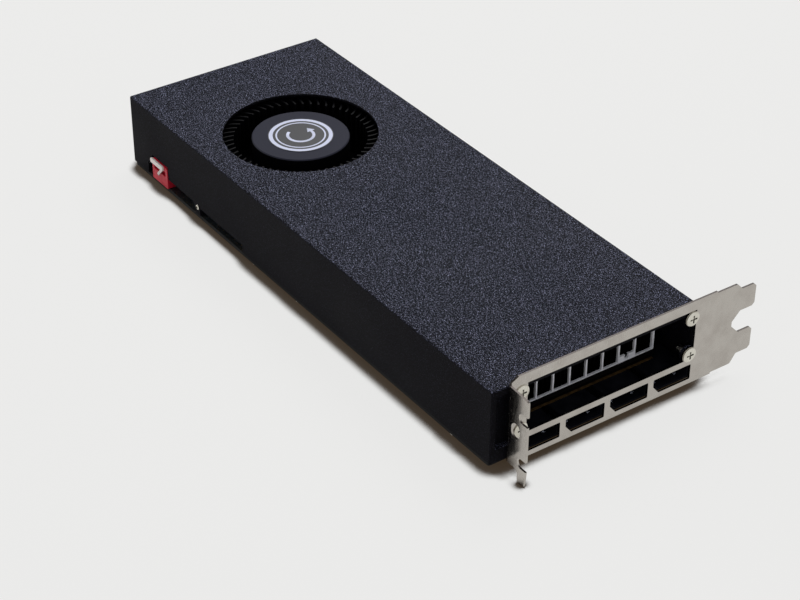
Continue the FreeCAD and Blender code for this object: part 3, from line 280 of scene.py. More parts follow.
@dataclass(frozen=True)
class PlatedSteel:
    """Plated or ground steel: a metal sheen broken by fine lines and faint stains, with painted shade in
    recesses.
    """

    name: str
    tone: str
    worn: str
    roughness: float
    process: Process = Process.ROLLED
    line: Triple = (1.0, 1.0, 1.0)                # stretch of the lines along each axis
    recess_mm: float = 0.8        # reach of the painted shade in recesses
    recess_span: Pair = (0.25, 0.85)              # openness at which the painted shade is full and gone
    # painted shade in recesses, and the painted dark reflection on cut edges
    recess_edge_shade: str = "#3a342c"
    stain_mm: float = 9.0
    stain_span: Pair = (0.30, 0.60)
    gloss_play: Pair = (-0.06, 0.08)              # how far the roughness strays across the lines
    edge_span: Pair = (0.55, 0.85)                # turn of a face between plain sheet and cut edge
    plate_front: float | None = None              # front face of a folded sheet along X, in metres

    def build(self) -> bpy.types.Material:
        """Makes the plating, with painted shade in recesses and a painted dark reflection on cut edges where
        the sheet's front face is given.

        Returns:
            The plating's material.
        """
        grain_mm, depth_mm = self.process.value
        material, tree, shader, where = start(self.name)
        along = add(tree, "Mapping", {"Vector": where, "Scale": self.line})
        lines = add(tree, "TexNoise", {"Vector": along, "Scale": per_size(grain_mm), "Detail": 3.0})
        stain = add(tree, "TexNoise", {
            "Vector": where, "Scale": per_size(self.stain_mm), "Detail": 4.0, "Roughness": 0.65,
        })
        dull, clear = self.stain_span
        colour = add(tree, "ValToRGB", {"Fac": stain}, stops=[(dull, self.worn), (clear, self.tone)])
        # painted shade: darker where the surface is closed in
        reach = {"Distance": self.recess_mm * MM}
        air = add(tree, "AmbientOcclusion", reach, {"samples": 6, "only_local": True}).outputs["AO"]
        full, gone = self.recess_span
        unshaded = add(tree, "MapRange", {"Value": air, "From Min": full, "From Max": gone})
        finish = add(tree, "MixRGB", {"Fac": unshaded, "Color1": self.recess_edge_shade, "Color2": colour})
        # painted dark reflection on the cut edges
        if self.plate_front is not None:
            finish = self.dark_edge_reflection(tree, finish, where, self.plate_front)
        low, high = (self.roughness + play for play in self.gloss_play)
        feed(shader, {
            "Base Color": finish,
            "Roughness": add(tree, "MapRange", {**NOISE_SPAN, "Value": lines, "To Min": low, "To Max": high}),
            "Metallic": 1.0,
            "Normal": add(tree, "Bump", {"Height": lines, "Distance": depth_mm * MM, "Strength": 0.5}),
        })
        return material

    def dark_edge_reflection(self, tree: Tree, colour: Node, where: Socket, front: float) -> Node:
        """Paints a dark reflection on the sheet's cut edges.

        Args:
            tree: tree that takes the nodes.
            colour: the plating's colour.
            where: the place on the sheet.
            front: the plate's front face along X; beyond it the sheet is folded to face along Y.

        Returns:
            The colour with its cut edges darkened.
        """
        turn = add(tree, "SeparateXYZ", {"Vector": add(tree, "NewGeometry", {}).outputs["True Normal"]})
        spot = add(tree, "SeparateXYZ", {"Vector": where})
        upright = add(tree, "Math", {0: turn.outputs["Z"]}, {"operation": "ABSOLUTE"})
        sideways = add(tree, "Math", {0: turn.outputs["Y"]}, {"operation": "ABSOLUTE"})
        on_plate = add(tree, "Math", {0: spot.outputs["X"], 1: front}, {"operation": "LESS_THAN"})
        sideways = add(tree, "Math", {0: sideways, 1: on_plate}, {"operation": "MULTIPLY"})
        cut = add(tree, "Math", {0: upright, 1: sideways}, {"operation": "MAXIMUM"})
        plain, full = self.edge_span
        edge = add(tree, "MapRange", {"Value": cut, "From Min": plain, "From Max": full})
        return add(tree, "MixRGB", {"Fac": edge, "Color1": colour, "Color2": self.recess_edge_shade})


@dataclass(frozen=True)
class MouldedPlastic:
    """Moulded, pressed or dipped material: an even tone with the tool's fine grain and slight cloudiness."""

    name: str
    tone: str
    roughness: float
    process: Process = Process.SPARK_ERODED
    ior: float = 1.53
    specular: float = 0.5
    cloud_mm: float = 6.0
    cloud: Pair = (0.72, 1.15)    # share of the tone in the cloud's dull and pale parts
    least_lift: float = 0.004     # added to the pale part, so that it shows on a near-black tone
    gloss_play: float = 0.05      # how far the roughness strays either way

    def build(self) -> bpy.types.Material:
        """Makes the moulding's surface.

        Returns:
            Its material.
        """
        grain_mm, depth_mm = self.process.value
        material, tree, shader, where = start(self.name)
        grain = add(tree, "TexNoise", {"Vector": where, "Scale": per_size(grain_mm), "Detail": 2.0})
        cloud = add(tree, "TexNoise", {"Vector": where, "Scale": per_size(self.cloud_mm), "Detail": 3.0})
        dull, pale = self.cloud
        tone = linear(self.tone)[:3]
        stops = [
            (NOISE_LOW, (*(part * dull for part in tone), 1.0)),
            (NOISE_HIGH, (*(min(1.0, part * pale + self.least_lift) for part in tone), 1.0)),
        ]
        feed(shader, {
            "Base Color": add(tree, "ValToRGB", {"Fac": cloud}, stops=stops),
            "Roughness": add(tree, "MapRange", {
                **NOISE_SPAN, "Value": cloud,
                "To Min": self.roughness + self.gloss_play, "To Max": self.roughness - self.gloss_play,
            }),
            "IOR": self.ior,
            "Specular IOR Level": self.specular,
            "Normal": add(tree, "Bump", {"Height": grain, "Distance": depth_mm * MM, "Strength": 0.5}),
        })
        return material


@dataclass(frozen=True)
class SolderMask:
    """Glass-epoxy laminate under black solder mask: satin, with faint raised copper runs and plated holes."""

    name: str = "glass_epoxy_solder_mask"
    mask: str = "#15181a"
    run: str = "#22282b"
    via: str = "#6f5a34"
    edge_shade: str = "#0e0e0d"     # painted shade: near-black on the routed edge, which lies in shadow under the shroud wall
    run_mm: float = 5.0
    run_slant_deg: float = 45.0
    run_rise_mm: float = 0.05
    via_mm: float = 2.6
    weave_mm: float = 0.8         # the glass cloth's threads, which stir the gloss
    roughness: Pair = (0.30, 0.42)
    cut_roughness: float = 0.95
    masked: float = 0.5           # a face whose normal has more of Z than this is masked; the rest are cut

    def build(self) -> bpy.types.Material:
        """Makes the masked laminate.

        Returns:
            Its material.
        """
        material, tree, shader, where = start(self.name)
        turned = add(tree, "Mapping", {"Vector": where, "Rotation": (0, 0, math.radians(self.run_slant_deg))})
        runs = add(
            tree, "TexVoronoi", {"Vector": turned, "Scale": per_size(self.run_mm), "Randomness": 0.75},
            {"feature": "DISTANCE_TO_EDGE", "voronoi_dimensions": "2D"},
        )
        holes = add(
            tree, "TexVoronoi", {"Vector": where, "Scale": per_size(self.via_mm), "Randomness": 0.9},
            {"voronoi_dimensions": "2D"},
        )
        weave = add(tree, "TexNoise", {"Vector": where, "Scale": per_size(self.weave_mm), "Detail": 2.0})
        traces = add(tree, "ValToRGB", {"Fac": runs}, stops=[(0.0, WHITE), (0.05, WHITE), (0.07, BLACK)])
        dots = add(tree, "ValToRGB", {"Fac": holes}, stops=[(0.0, WHITE), (0.05, WHITE), (0.08, BLACK)])
        top = add(tree, "MixRGB", {"Fac": traces, "Color1": self.mask, "Color2": self.run})
        full = add(tree, "MixRGB", {"Fac": dots, "Color1": top, "Color2": self.via})
        turn = add(tree, "SeparateXYZ", {"Vector": add(tree, "NewGeometry", {}).outputs["True Normal"]})
        upright = add(tree, "Math", {0: turn.outputs["Z"]}, {"operation": "ABSOLUTE"})
        masked = add(tree, "Math", {0: upright, 1: self.masked}, {"operation": "GREATER_THAN"})
        low, high = self.roughness
        satin = add(tree, "MapRange", {**NOISE_SPAN, "Value": weave, "To Min": low, "To Max": high})
        feed(shader, {
            "Base Color": add(tree, "MixRGB", {"Fac": masked, "Color1": self.edge_shade, "Color2": full}),
            "Roughness": add(tree, "MapRange", {
                "Value": masked, "To Min": self.cut_roughness, "To Max": satin,
            }),
            "Specular IOR Level": 0.3,
            "Normal": add(tree, "Bump", {
                "Height": traces, "Distance": self.run_rise_mm * MM, "Strength": 0.5,
            }),
        })
        return material


@dataclass(frozen=True)
class DrawnMetal:
    """Bare metal drawn or rolled to sheet and wire: long lines, a warm or cool tone and a light tarnish."""

    name: str
    tone: str
    tarnish: str
    roughness: float
    line_mm: float = 0.6
    along: Triple = (0.05, 1.0, 1.0)              # the lines' stretch, here along X
    depth_mm: float = 0.015
    tarnish_mm: float = 4.0
    tarnish_span: Pair = (0.34, 0.58)
    gloss_play: Pair = (-0.07, 0.10)              # how far the roughness strays across the lines

    def build(self) -> bpy.types.Material:
        """Makes the metal.

        Returns:
            Its material.
        """
        material, tree, shader, where = start(self.name)
        drawn = add(tree, "Mapping", {"Vector": where, "Scale": self.along})
        lines = add(tree, "TexNoise", {"Vector": drawn, "Scale": per_size(self.line_mm), "Detail": 3.0})
        spots = add(tree, "TexNoise", {
            "Vector": where, "Scale": per_size(self.tarnish_mm), "Detail": 4.0, "Roughness": 0.7,
        })
        dull, clear = self.tarnish_span
        stops = [(dull, self.tarnish), (clear, self.tone)]
        low, high = (self.roughness + play for play in self.gloss_play)
        feed(shader, {
            "Base Color": add(tree, "ValToRGB", {"Fac": spots}, stops=stops),
            "Roughness": add(tree, "MapRange", {**NOISE_SPAN, "Value": lines, "To Min": low, "To Max": high}),
            "Metallic": 1.0,
            "Normal": add(tree, "Bump", {"Height": lines, "Distance": self.depth_mm * MM, "Strength": 0.5}),
        })
        return material


@dataclass(frozen=True)
class PartCoated:
    """Sheet metal left bare at its front edge and black with painted shade behind it: a metal line before a
    black body.
    """

    name: str
    bare: str
    tarnish: str
    metallic: float = 0.6
    roughness: float = 0.42
    # painted shade: the black where the metal lies in shadow behind its bare edge
    shade_black: str = "#08080a"
    grain_mm: float = 2.0
    depth_mm: float = 0.02
    tarnish_span: Pair = (0.35, 0.62)
    edges: tuple[tuple[str, float], ...] = ()     # axis and place in metres beyond which the metal is bare

    def build(self) -> bpy.types.Material:
        """Makes the metal, bare at its edge and black with painted shade behind it.

        Returns:
            Its material.
        """
        material, tree, shader, where = start(self.name)
        grain = add(tree, "TexNoise", {"Vector": where, "Scale": per_size(self.grain_mm), "Detail": 4.0})
        dull, clear = self.tarnish_span
        metal = add(tree, "ValToRGB", {"Fac": grain}, stops=[(dull, self.tarnish), (clear, self.bare)])
        spot = add(tree, "SeparateXYZ", {"Vector": where})
        bare = None
        for axis, edge in self.edges:
            beyond = add(tree, "Math", {0: spot.outputs[axis], 1: edge}, {"operation": "GREATER_THAN"})
            bare = add(tree, "Math", {0: bare, 1: beyond}, {"operation": "MULTIPLY"}) if bare else beyond
        feed(shader, {
            "Base Color": add(tree, "MixRGB", {"Fac": bare, "Color1": self.shade_black, "Color2": metal}),
            "Metallic": self.metallic,
            "Roughness": self.roughness,
            "Specular IOR Level": 0.1,
            "Normal": add(tree, "Bump", {"Height": grain, "Distance": self.depth_mm * MM, "Strength": 0.4}),
        })
        return material


@dataclass(frozen=True)
class Banded:
    """Metal stacked or wound along Z, such as stator sheets or enamelled wire: fine parallel bands."""

    name: str
    tone: str
    groove: str
    band_mm: float                # thickness of a sheet or wire
    groove_share: float = 0.3     # depth between bands as a share of that thickness
    groove_span: Pair = (0.1, 0.6)
    roughness: float = 0.4

    def build(self) -> bpy.types.Material:
        """Makes the banded metal.

        Returns:
            Its material.
        """
        material, tree, shader, where = start(self.name)
        natural = math.pi / 10            # pitch of a wave texture's bands at a scale of 1
        waves = add(
            tree, "TexWave",
            {"Vector": where, "Scale": per_size(self.band_mm) * natural, "Distortion": 0.6, "Detail": 1.0},
            {"wave_type": "BANDS", "bands_direction": "Z"},
        ).outputs["Fac"]
        depth = self.band_mm * self.groove_share * MM
        dark, clear = self.groove_span
        stops = [(dark, self.groove), (clear, self.tone)]
        feed(shader, {
            "Base Color": add(tree, "ValToRGB", {"Fac": waves}, stops=stops),
            "Metallic": 1.0,
            "Roughness": self.roughness,
            "Normal": add(tree, "Bump", {"Height": waves, "Distance": depth, "Strength": 0.6}),
        })
        return material


@dataclass(frozen=True)
class WheelPlastic:
    """Charcoal ABS, moulded as one wheel: near-black blades, and the hub's top face paler as a painted sheen.
    """

    name: str = "charcoal_abs"
    blades: str = "#040406"
    sheen_face: str = "#2a2b36"
    grain_mm: float = 0.35
    depth_mm: float = 0.02
    dim: float = 0.82             # the grain's hollows as a share of the tone
    roughness: Pair = (0.40, 0.50)
    face_z: float = 0.0           # height in metres above which the plastic takes the painted sheen

    def build(self) -> bpy.types.Material:
        """Makes the plastic, paler above face_z as a painted sheen.

        Returns:
            Its material.
        """
        material, tree, shader, where = start(self.name)
        height = add(tree, "SeparateXYZ", {"Vector": where}).outputs["Z"]
        above = add(tree, "Math", {0: height, 1: self.face_z}, {"operation": "GREATER_THAN"})
        grain = add(tree, "TexNoise", {"Vector": where, "Scale": per_size(self.grain_mm), "Detail": 2.0})
        tone = add(tree, "MixRGB", {"Fac": above, "Color1": self.blades, "Color2": self.sheen_face})
        dim = (self.dim, self.dim, self.dim, 1.0)
        mottle = add(tree, "ValToRGB", {"Fac": grain}, stops=[(NOISE_LOW, dim), (NOISE_HIGH, WHITE)])
        both = {"Fac": 1.0, "Color1": tone, "Color2": mottle}
        low, high = self.roughness
        feed(shader, {
            "Base Color": add(tree, "MixRGB", both, {"blend_type": "MULTIPLY"}),
            "Roughness": add(tree, "MapRange", {**NOISE_SPAN, "Value": grain, "To Min": low, "To Max": high}),
            "IOR": 1.54,
            "Specular IOR Level": 0.04,
            "Normal": add(tree, "Bump", {"Height": grain, "Distance": self.depth_mm * MM, "Strength": 0.5}),
        })
        return material


@dataclass(frozen=True)
class PrintedBadge:
    """Screen-printed polyester badge: dark satin print with a broad and a thin pale ring."""

    name: str = "printed_polyester_badge"
    ground: str = "#1c1d23"
    ink: str = "#bcc1d6"
    broad_ring_mm: Pair = (12.1, 13.8)            # inner and outer radius
    thin_ring_mm: Pair = (10.2, 10.9)
    grain_mm: float = 0.5
    depth_mm: float = 0.01
    centre: Pair = (0.0, 0.0)     # the hub's middle, in metres

    def build(self) -> bpy.types.Material:
        """Makes the print, centred on the hub.

        Returns:
            The badge's material.
        """
        material, tree, shader, where = start(self.name)
        away = add(tree, "VectorMath", {0: where, 1: (*self.centre, 0)}, {"operation": "SUBTRACT"})
        in_mm = (1 / MM, 1 / MM, 0)       # leaves out the height
        flat = add(tree, "VectorMath", {0: away, 1: in_mm}, {"operation": "MULTIPLY"})
        radius = add(tree, "VectorMath", {0: flat}, {"operation": "LENGTH"}).outputs["Value"]
        colour = self.ground
        for inner, outer in (self.broad_ring_mm, self.thin_ring_mm):
            offset = add(tree, "Math", {0: radius, 1: (inner + outer) / 2}, {"operation": "SUBTRACT"})
            offset = add(tree, "Math", {0: offset}, {"operation": "ABSOLUTE"})
            within = add(tree, "Math", {0: offset, 1: (outer - inner) / 2}, {"operation": "LESS_THAN"})
            colour = add(tree, "MixRGB", {"Fac": within, "Color1": colour, "Color2": self.ink})
        grain = add(tree, "TexNoise", {"Vector": where, "Scale": per_size(self.grain_mm), "Detail": 2.0})
        feed(shader, {
            "Base Color": colour,
            "Roughness": 0.35,
            "Specular IOR Level": 0.35,
            "Normal": add(tree, "Bump", {"Height": grain, "Distance": self.depth_mm * MM, "Strength": 0.4}),
        })
        return material


@dataclass(frozen=True)
class PaleFloor:
    """Matt paper sweep: a plain pale ground with a painted shadow where the card nearly touches it."""

    name: str = "matt_paper_sweep"
    tone: str = "#e6e4e1"
    seen: str = "#ebebea"
    seen_share: float = 0.93      # evenness of the ground as it is seen; the rest is lit and takes the shadow
    shadow_tone: str = "#382d20"      # painted shadow: a warm dark tone where the card nearly touches the ground
    shadow_reach_mm: float = 8.0
    shadow_span: Pair = (0.68, 0.87)             # openness at which that tone is full and gone
    fibre_mm: float = 1.5
    depth_mm: float = 0.02

    def build(self) -> bpy.types.Material:
        """Makes the floor's material.

        Returns:
            That material.
        """
        material, tree, shader, where = start(self.name)
        share = add(tree, "Math", {0: seen_directly(tree), 1: self.seen_share}, {"operation": "MULTIPLY"})
        # painted shadow: darker where the floor is closed in by the card
        reach = {"Distance": self.shadow_reach_mm * MM}
        near = add(tree, "AmbientOcclusion", reach, {"samples": 36}).outputs["AO"]
        closed, clear = self.shadow_span
        openness = add(tree, "MapRange", {"Value": near, "From Min": closed, "From Max": clear})
        shadowed = add(tree, "MixRGB", {"Fac": openness, "Color1": self.shadow_tone, "Color2": self.seen})
        even = add(tree, "Emission", {"Color": shadowed, "Strength": 1.0})
        both = add(tree, "MixShader", {0: share, 1: shader, 2: even})
        feed(tree.nodes["Material Output"], {"Surface": both})
        fibre = add(tree, "TexNoise", {"Vector": where, "Scale": per_size(self.fibre_mm), "Detail": 2.0})
        feed(shader, {
            "Base Color": self.tone,
            "Roughness": 0.9,
            "Specular IOR Level": 0.1,
            "Normal": add(tree, "Bump", {"Height": fibre, "Distance": self.depth_mm * MM, "Strength": 0.2}),
        })
        return material


# ---------------------------------------------------------------- sub-assemblies
@dataclass
class Shroud:
    """Folded sheet cover and the screws round it."""

    coat: PowderCoat = field(default_factory=PowderCoat)
    # nickel on steel, tumbled in a barrel: pale, slightly warm heads, with painted shade in the drive
    # recesses
    screw: PlatedSteel = PlatedSteel(
        "bright_nickel_screw", "#d6d3c8", "#b5b0a2", 0.27, Process.BARREL_PLATED,
        recess_mm=1.0, recess_edge_shade="#1f1c18",
    )

    def build(self) -> None:
        """Dresses the cover and the screws."""
        dress(["shroud"], self.coat.build())
        dress(["side_screw", "bracket_screws", "shroud_screws", "blower_screws"], self.screw.build())


@dataclass
class Bracket:
    """Folded dual-slot bracket."""

    tab_mm: float = 11.0          # reach of the folded tab in front of the plate
    # zinc on rolled sheet: satin grey with faint lines up the plate, a painted dark reflection on the cut
    # edges and painted shade in recesses
    plate: PlatedSteel = PlatedSteel(
        "satin_zinc_plated_sheet", "#b6b1aa", "#a9a39c", 0.21, Process.ROLLED, (1.0, 1.0, 0.08),
        recess_mm=0.4, recess_edge_shade="#332f2d",
    )

    def build(self) -> None:
        """Dresses the bracket, whose plate ends where the tab is folded forward."""
        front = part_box("io_bracket")[1].x - self.tab_mm * MM
        dress(["io_bracket"], replace(self.plate, plate_front=front).build())


@dataclass
class DisplaySockets:
    """Four display sockets: shells, inserts, gold contacts, latch springs and the strips over them."""

    lead_mm: float = 1.1          # bare front of the strip, behind which it is black with painted shade
    spring_aside_mm: float = 5.2  # either side of the socket's middle
    spring_floor_mm: float = 0.38
    spring_rise_mm: float = 0.8
    spring_width_mm: float = 1.3
    spring_sheet_mm: float = 0.2
    spring_bends_mm: Triple = (3.2, 4.2, 6.8)     # foot, crest and heel, behind the shell's mouth
    # steel shells coloured near-black and dull as painted shade, for the shadow the sockets sit in
    shell: MouldedPlastic = MouldedPlastic(
        "shell_painted_shade_black", "#0b0c12", 0.45, Process.POLISHED_MOULD, ior=1.5, specular=0.008,
    )
    # glass-filled nylon, injection moulded: a cold near-black with a satin gloss, its blue tint a painted
    # bluish sheen
    insert: MouldedPlastic = MouldedPlastic("black_glass_filled_nylon", "#1a2132", 0.32)
    # hard gold plated on drawn copper: warm and bright, slightly worn at the fingers
    gold: DrawnMetal = DrawnMetal("hard_gold_plate", "#e0b25e", "#b98a3c", 0.25)
    # rolled copper, black with painted shade where it lies under the guide: only its front edge shows a dull
    # brass line
    strip: PartCoated = PartCoated("copper_with_painted_shade", "#6a5230", "#483921")
    # bright drawn spring steel: small bluish glints inside the mouth
    spring: PlatedSteel = PlatedSteel("bright_spring_steel", "#dfe4f5", "#c3cadf", 0.2, Process.BARREL_PLATED)
    # rolled copper left to oxidise: a deep dull brown
    base: DrawnMetal = DrawnMetal("oxidised_copper", "#4a3222", "#2e2018", 0.5)

    def build(self) -> None:
        """Dresses shells, inserts, contacts and strips, and sets the springs."""
        dress([f"display_shell_{i}" for i in SOCKETS], self.shell.build())
        dress([f"display_insert_{i}" for i in SOCKETS], self.insert.build())
        dress(["display_contacts", "edge_contacts"], self.gold.build())
        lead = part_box("socket_ground_strip")[1].x - self.lead_mm * MM
        dress(["socket_ground_strip"], replace(self.strip, edges=(("X", lead),)).build())
        dress(["sink_plate"], self.base.build())
        self.latch_springs()

    def latch_springs(self) -> None:
        """Sets two bent latch springs on the floor of each socket."""
        mesh = bmesh.new()
        half, sheet = self.spring_width_mm * MM / 2, self.spring_sheet_mm * MM
        section = ((-half, 0.0), (half, 0.0), (half, sheet), (-half, sheet))
        foot, crest, heel = (bend * MM for bend in self.spring_bends_mm)
        for number in SOCKETS:
            low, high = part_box(f"display_shell_{number}")
            bed = low.z + self.spring_floor_mm * MM
            top = bed + self.spring_rise_mm * MM
            profile = ((high.x - foot, bed), (high.x - crest, top), (high.x - heel, bed))
            for side in (-1, 1):
                middle = (low.y + high.y) / 2 + side * self.spring_aside_mm * MM
                skin(mesh, [[(x, middle + dy, z + dz) for dy, dz in section] for x, z in profile])
        piece("latch_springs", mesh, self.spring.build(), "card")


@dataclass
class Board:
    """Circuit board and the parts on its upper face."""

    mask: SolderMask = field(default_factory=SolderMask)
    # transfer-moulded epoxy: flat charcoal chip packages
    epoxy: MouldedPlastic = MouldedPlastic("black_epoxy_package", "#1a1b1d", 0.42)
    # filled silicone rubber, calendered: chalky blue-grey pads
    pad: MouldedPlastic = MouldedPlastic("silicone_thermal_pad", "#8f97a3", 0.85, Process.SINTERED)
    # pressed iron powder: dark grey blocks with a dry grain
    ferrite: MouldedPlastic = MouldedPlastic("pressed_iron_powder", "#36363a", 0.6, Process.SINTERED)
    # deep-drawn aluminium cans: pale and faintly lined
    can: DrawnMetal = DrawnMetal("drawn_aluminium_can", "#c4c6c8", "#9a9c9e", 0.3)
    # laminate with a green mask under the processor
    carrier: MouldedPlastic = MouldedPlastic("laminate_carrier", "#2f4a36", 0.4)
    # lapped silicon: a dark grey mirror
    die: MouldedPlastic = MouldedPlastic("polished_silicon", "#54585f", 0.14, Process.POLISHED_MOULD, ior=3.4)

    def build(self) -> None:
        """Dresses the board and its parts."""
        dress(["circuit_board", "motor_board"], self.mask.build())
        dress(["memory_chips", "power_stages"], self.epoxy.build())
        dress(["memory_pads"], self.pad.build())
        dress(["power_chokes"], self.ferrite.build())
        dress(["capacitors"], self.can.build())
        dress(["processor_substrate"], self.carrier.build())
        dress(["processor_die"], self.die.build())


@dataclass(frozen=True)
class ChipPart:
    """A two-ended chip part under the board: a block bevelled at its free face, with two tinned caps."""

    body_mm: Triple
    cap_share: Triple             # each cap's size as a share of the body's
    cap_place: float = 0.42       # a cap's distance from the middle as a share of the body's length
    bevel_share: float = 0.12     # bevel as a share of the block's least side

    def block(self, mesh: Mesh, middle: Vector, size: Vector) -> None:
        """Adds a block that hangs from the board, bevelled at its lower face.

        Args:
            mesh: mesh that takes the block.
            middle: middle of its upper face.
            size: its size.
        """
        bevel = self.bevel_share * min(size)
        rings = []
        for depth, inset in ((0.0, 0.0), (size.z - bevel, 0.0), (size.z, bevel)):
            dx, dy = size.x / 2 - inset, size.y / 2 - inset
            corners = ((-dx, -dy), (dx, -dy), (dx, dy), (-dx, dy))
            rings.append([(middle.x + x, middle.y + y, middle.z - depth) for x, y in corners])
        skin(mesh, rings)

    def solder(self, bodies: Mesh, caps: Mesh, middle: Vector) -> None:
        """Adds the part's body and its two caps.

        Args:
            bodies: mesh that takes the body.
            caps: mesh that takes the caps.
            middle: middle of the part's upper face.
        """
        body = Vector(self.body_mm) * MM
        cap = Vector([side * share for side, share in zip(body, self.cap_share)])
        self.block(bodies, middle, body)
        for side in (-1, 1):
            self.block(caps, middle + Vector((side * body.x * self.cap_place, 0, 0)), cap)


@dataclass(frozen=True)
class PinField:
    """A connector's soldered pins, measured in mm from its box's lowest corner."""

    nodes: tuple[str, ...]        # parts that have such pins
    first_mm: Pair
    pitch_mm: Pair
    count: tuple[int, int]        # columns along X and rows along Y
    stagger_mm: float = 0.0       # shift of every other row along X

    def spots(self) -> list[Pair]:
        """Lists the pins' places.

        Returns:
            X and Y of each pin, in metres.
        """
        found = []
        for node in self.nodes:
            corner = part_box(node)[0]
            for row in range(self.count[1]):
                for column in range(self.count[0]):
                    x = self.first_mm[0] + self.pitch_mm[0] * column + self.stagger_mm * (row % 2)
                    y = self.first_mm[1] + self.pitch_mm[1] * row
                    found.append((corner.x + x * MM, corner.y + y * MM))
        return found


@dataclass
class SolderSide:
    """Chip parts, block capacitors and solder joints on the board's lower face."""

    seat_mm: float = 0.02         # how far they sink into the mask
    # a round field of chip parts under the processor
    chip: ChipPart = ChipPart((1.0, 0.5, 0.45), (0.3, 1.06, 1.06))
    field_pitch_mm: Pair = (1.9, 1.7)
    field_radius_mm: float = 7.6
    # scattered rows of block capacitors along the board
    capacitor: ChipPart = ChipPart((2.0, 1.25, 0.9), (0.24, 1.05, 1.04))
    row_lines_mm: tuple[float, ...] = (-43.0, -25.5, 25.5, 41.0)      # from the board's middle line
    row_start_mm: float = 26.0
    row_pitch_mm: float = 6.3
    row_count: int = 34
    row_gaps: float = 0.35        # share of the places left empty
    scatter_mm: Pair = (1.0, 2.0)
    seed: int = 7
    front_clear_mm: float = 6.0
    # the retention cross, whose arms run aslant from under the processor and stay clear
    arm_width_mm: float = 9.5     # half an arm's width, measured along X
    arm_reach_mm: float = 38.0
    # solder joints: a small cone with a lead stub, whose profile is in shares of radius and height
    joint_radius_mm: float = 0.75
    joint_height_mm: float = 0.7
    joint_profile: tuple[Pair, ...] = ((1.0, 0.0), (0.62, 0.45), (0.42, 0.6), (0.40, 1.0))
    joint_sides: int = 10
    pins: tuple[PinField, ...] = (
        PinField(("side_connector",), (2.4, 6.0), (4.2, 4.2), (3, 2)),
        PinField(("power_socket",), (5.1, 3.0), (5.0, 4.2), (2, 4)),
        PinField(tuple(f"display_shell_{i}" for i in SOCKETS), (1.2, 1.6), (0.0, 1.5), (1, 10), 1.6),
    )
    # fired barium titanate: small matt tan blocks
    ceramic: MouldedPlastic = MouldedPlastic("barium_titanate_ceramic", "#8a7460", 0.45)
    # reflowed tin solder: silver-grey, smooth and slightly clouded
    tin: PlatedSteel = PlatedSteel("tin_solder", "#c9cacb", "#9b9c9e", 0.28, Process.BARREL_PLATED)

    def build(self) -> None:
        """Sets the parts and joints in four pieces."""
        low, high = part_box("circuit_board")
        die_low, die_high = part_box("processor_die")
        centre = (die_low + die_high) / 2
        bottom = low.z + self.seat_mm * MM
        chips, capacitors, caps, joints = bmesh.new(), bmesh.new(), bmesh.new(), bmesh.new()
        for spot in self.chip_spots(centre):
            self.chip.solder(chips, caps, Vector((*spot, bottom)))
        for spot in self.capacitor_spots(low, high, centre):
            self.capacitor.solder(capacitors, caps, Vector((*spot, bottom)))
        for pins in self.pins:
            for spot in pins.spots():
                self.joint(joints, Vector((*spot, bottom)))
        ceramic, tin = self.ceramic.build(), self.tin.build()
        piece("chip_parts", chips, ceramic, "card")
        piece("block_capacitors", capacitors, ceramic, "card")
        piece("end_caps", caps, tin, "card")
        piece("solder_joints", joints, tin, "card")

    def chip_spots(self, centre: Vector) -> list[Pair]:
        """Lists the places of the chip parts.

        Args:
            centre: the processor's middle.

        Returns:
            X and Y of each part, in metres.
        """
        pitch_x, pitch_y = self.field_pitch_mm
        reach = round(self.field_radius_mm / pitch_x)
        steps = range(-reach, reach + 1)
        return [
            (centre.x + i * pitch_x * MM, centre.y + j * pitch_y * MM)
            for i in steps for j in steps if math.hypot(i, j) * pitch_x <= self.field_radius_mm
        ]

    def capacitor_spots(self, low: Vector, high: Vector, centre: Vector) -> list[Pair]:
        """Draws the places of the block capacitors, clear of the retention cross.

        Args:
            low: the board's lowest corner.
            high: its highest corner.
            centre: the processor's middle, where the cross's arms meet.

        Returns:
            X and Y of each capacitor, in metres.
        """
        draw = random.Random(self.seed)
        stray_x, stray_y = self.scatter_mm
        found = []
        for column in range(self.row_count):
            for line in self.row_lines_mm:
                if draw.random() < self.row_gaps:
                    continue
                along = self.row_start_mm + column * self.row_pitch_mm + draw.uniform(-stray_x, stray_x)
                across = line + draw.uniform(-stray_y, stray_y)
                x, y = low.x + along * MM, (low.y + high.y) / 2 + across * MM
                aside = (abs(x - centre.x) / MM, abs(y - centre.y) / MM)
                on_arm = abs(aside[0] - aside[1]) < self.arm_width_mm and max(aside) < self.arm_reach_mm
                if not on_arm and x <= high.x - self.front_clear_mm * MM:
                    found.append((x, y))
        return found

    def joint(self, mesh: Mesh, foot: Vector) -> None:
        """Adds a solder joint.

        Args:
            mesh: mesh that takes the joint.
            foot: its middle on the board's lower face.
        """
        turns = [math.tau * i / self.joint_sides for i in range(self.joint_sides)]
        rings = []
        for width, drop in self.joint_profile:
            radius, z = self.joint_radius_mm * MM * width, foot.z - drop * self.joint_height_mm * MM
            rings.append([(foot.x + radius * math.cos(a), foot.y + radius * math.sin(a), z) for a in turns])
        skin(mesh, rings, open_start=True)


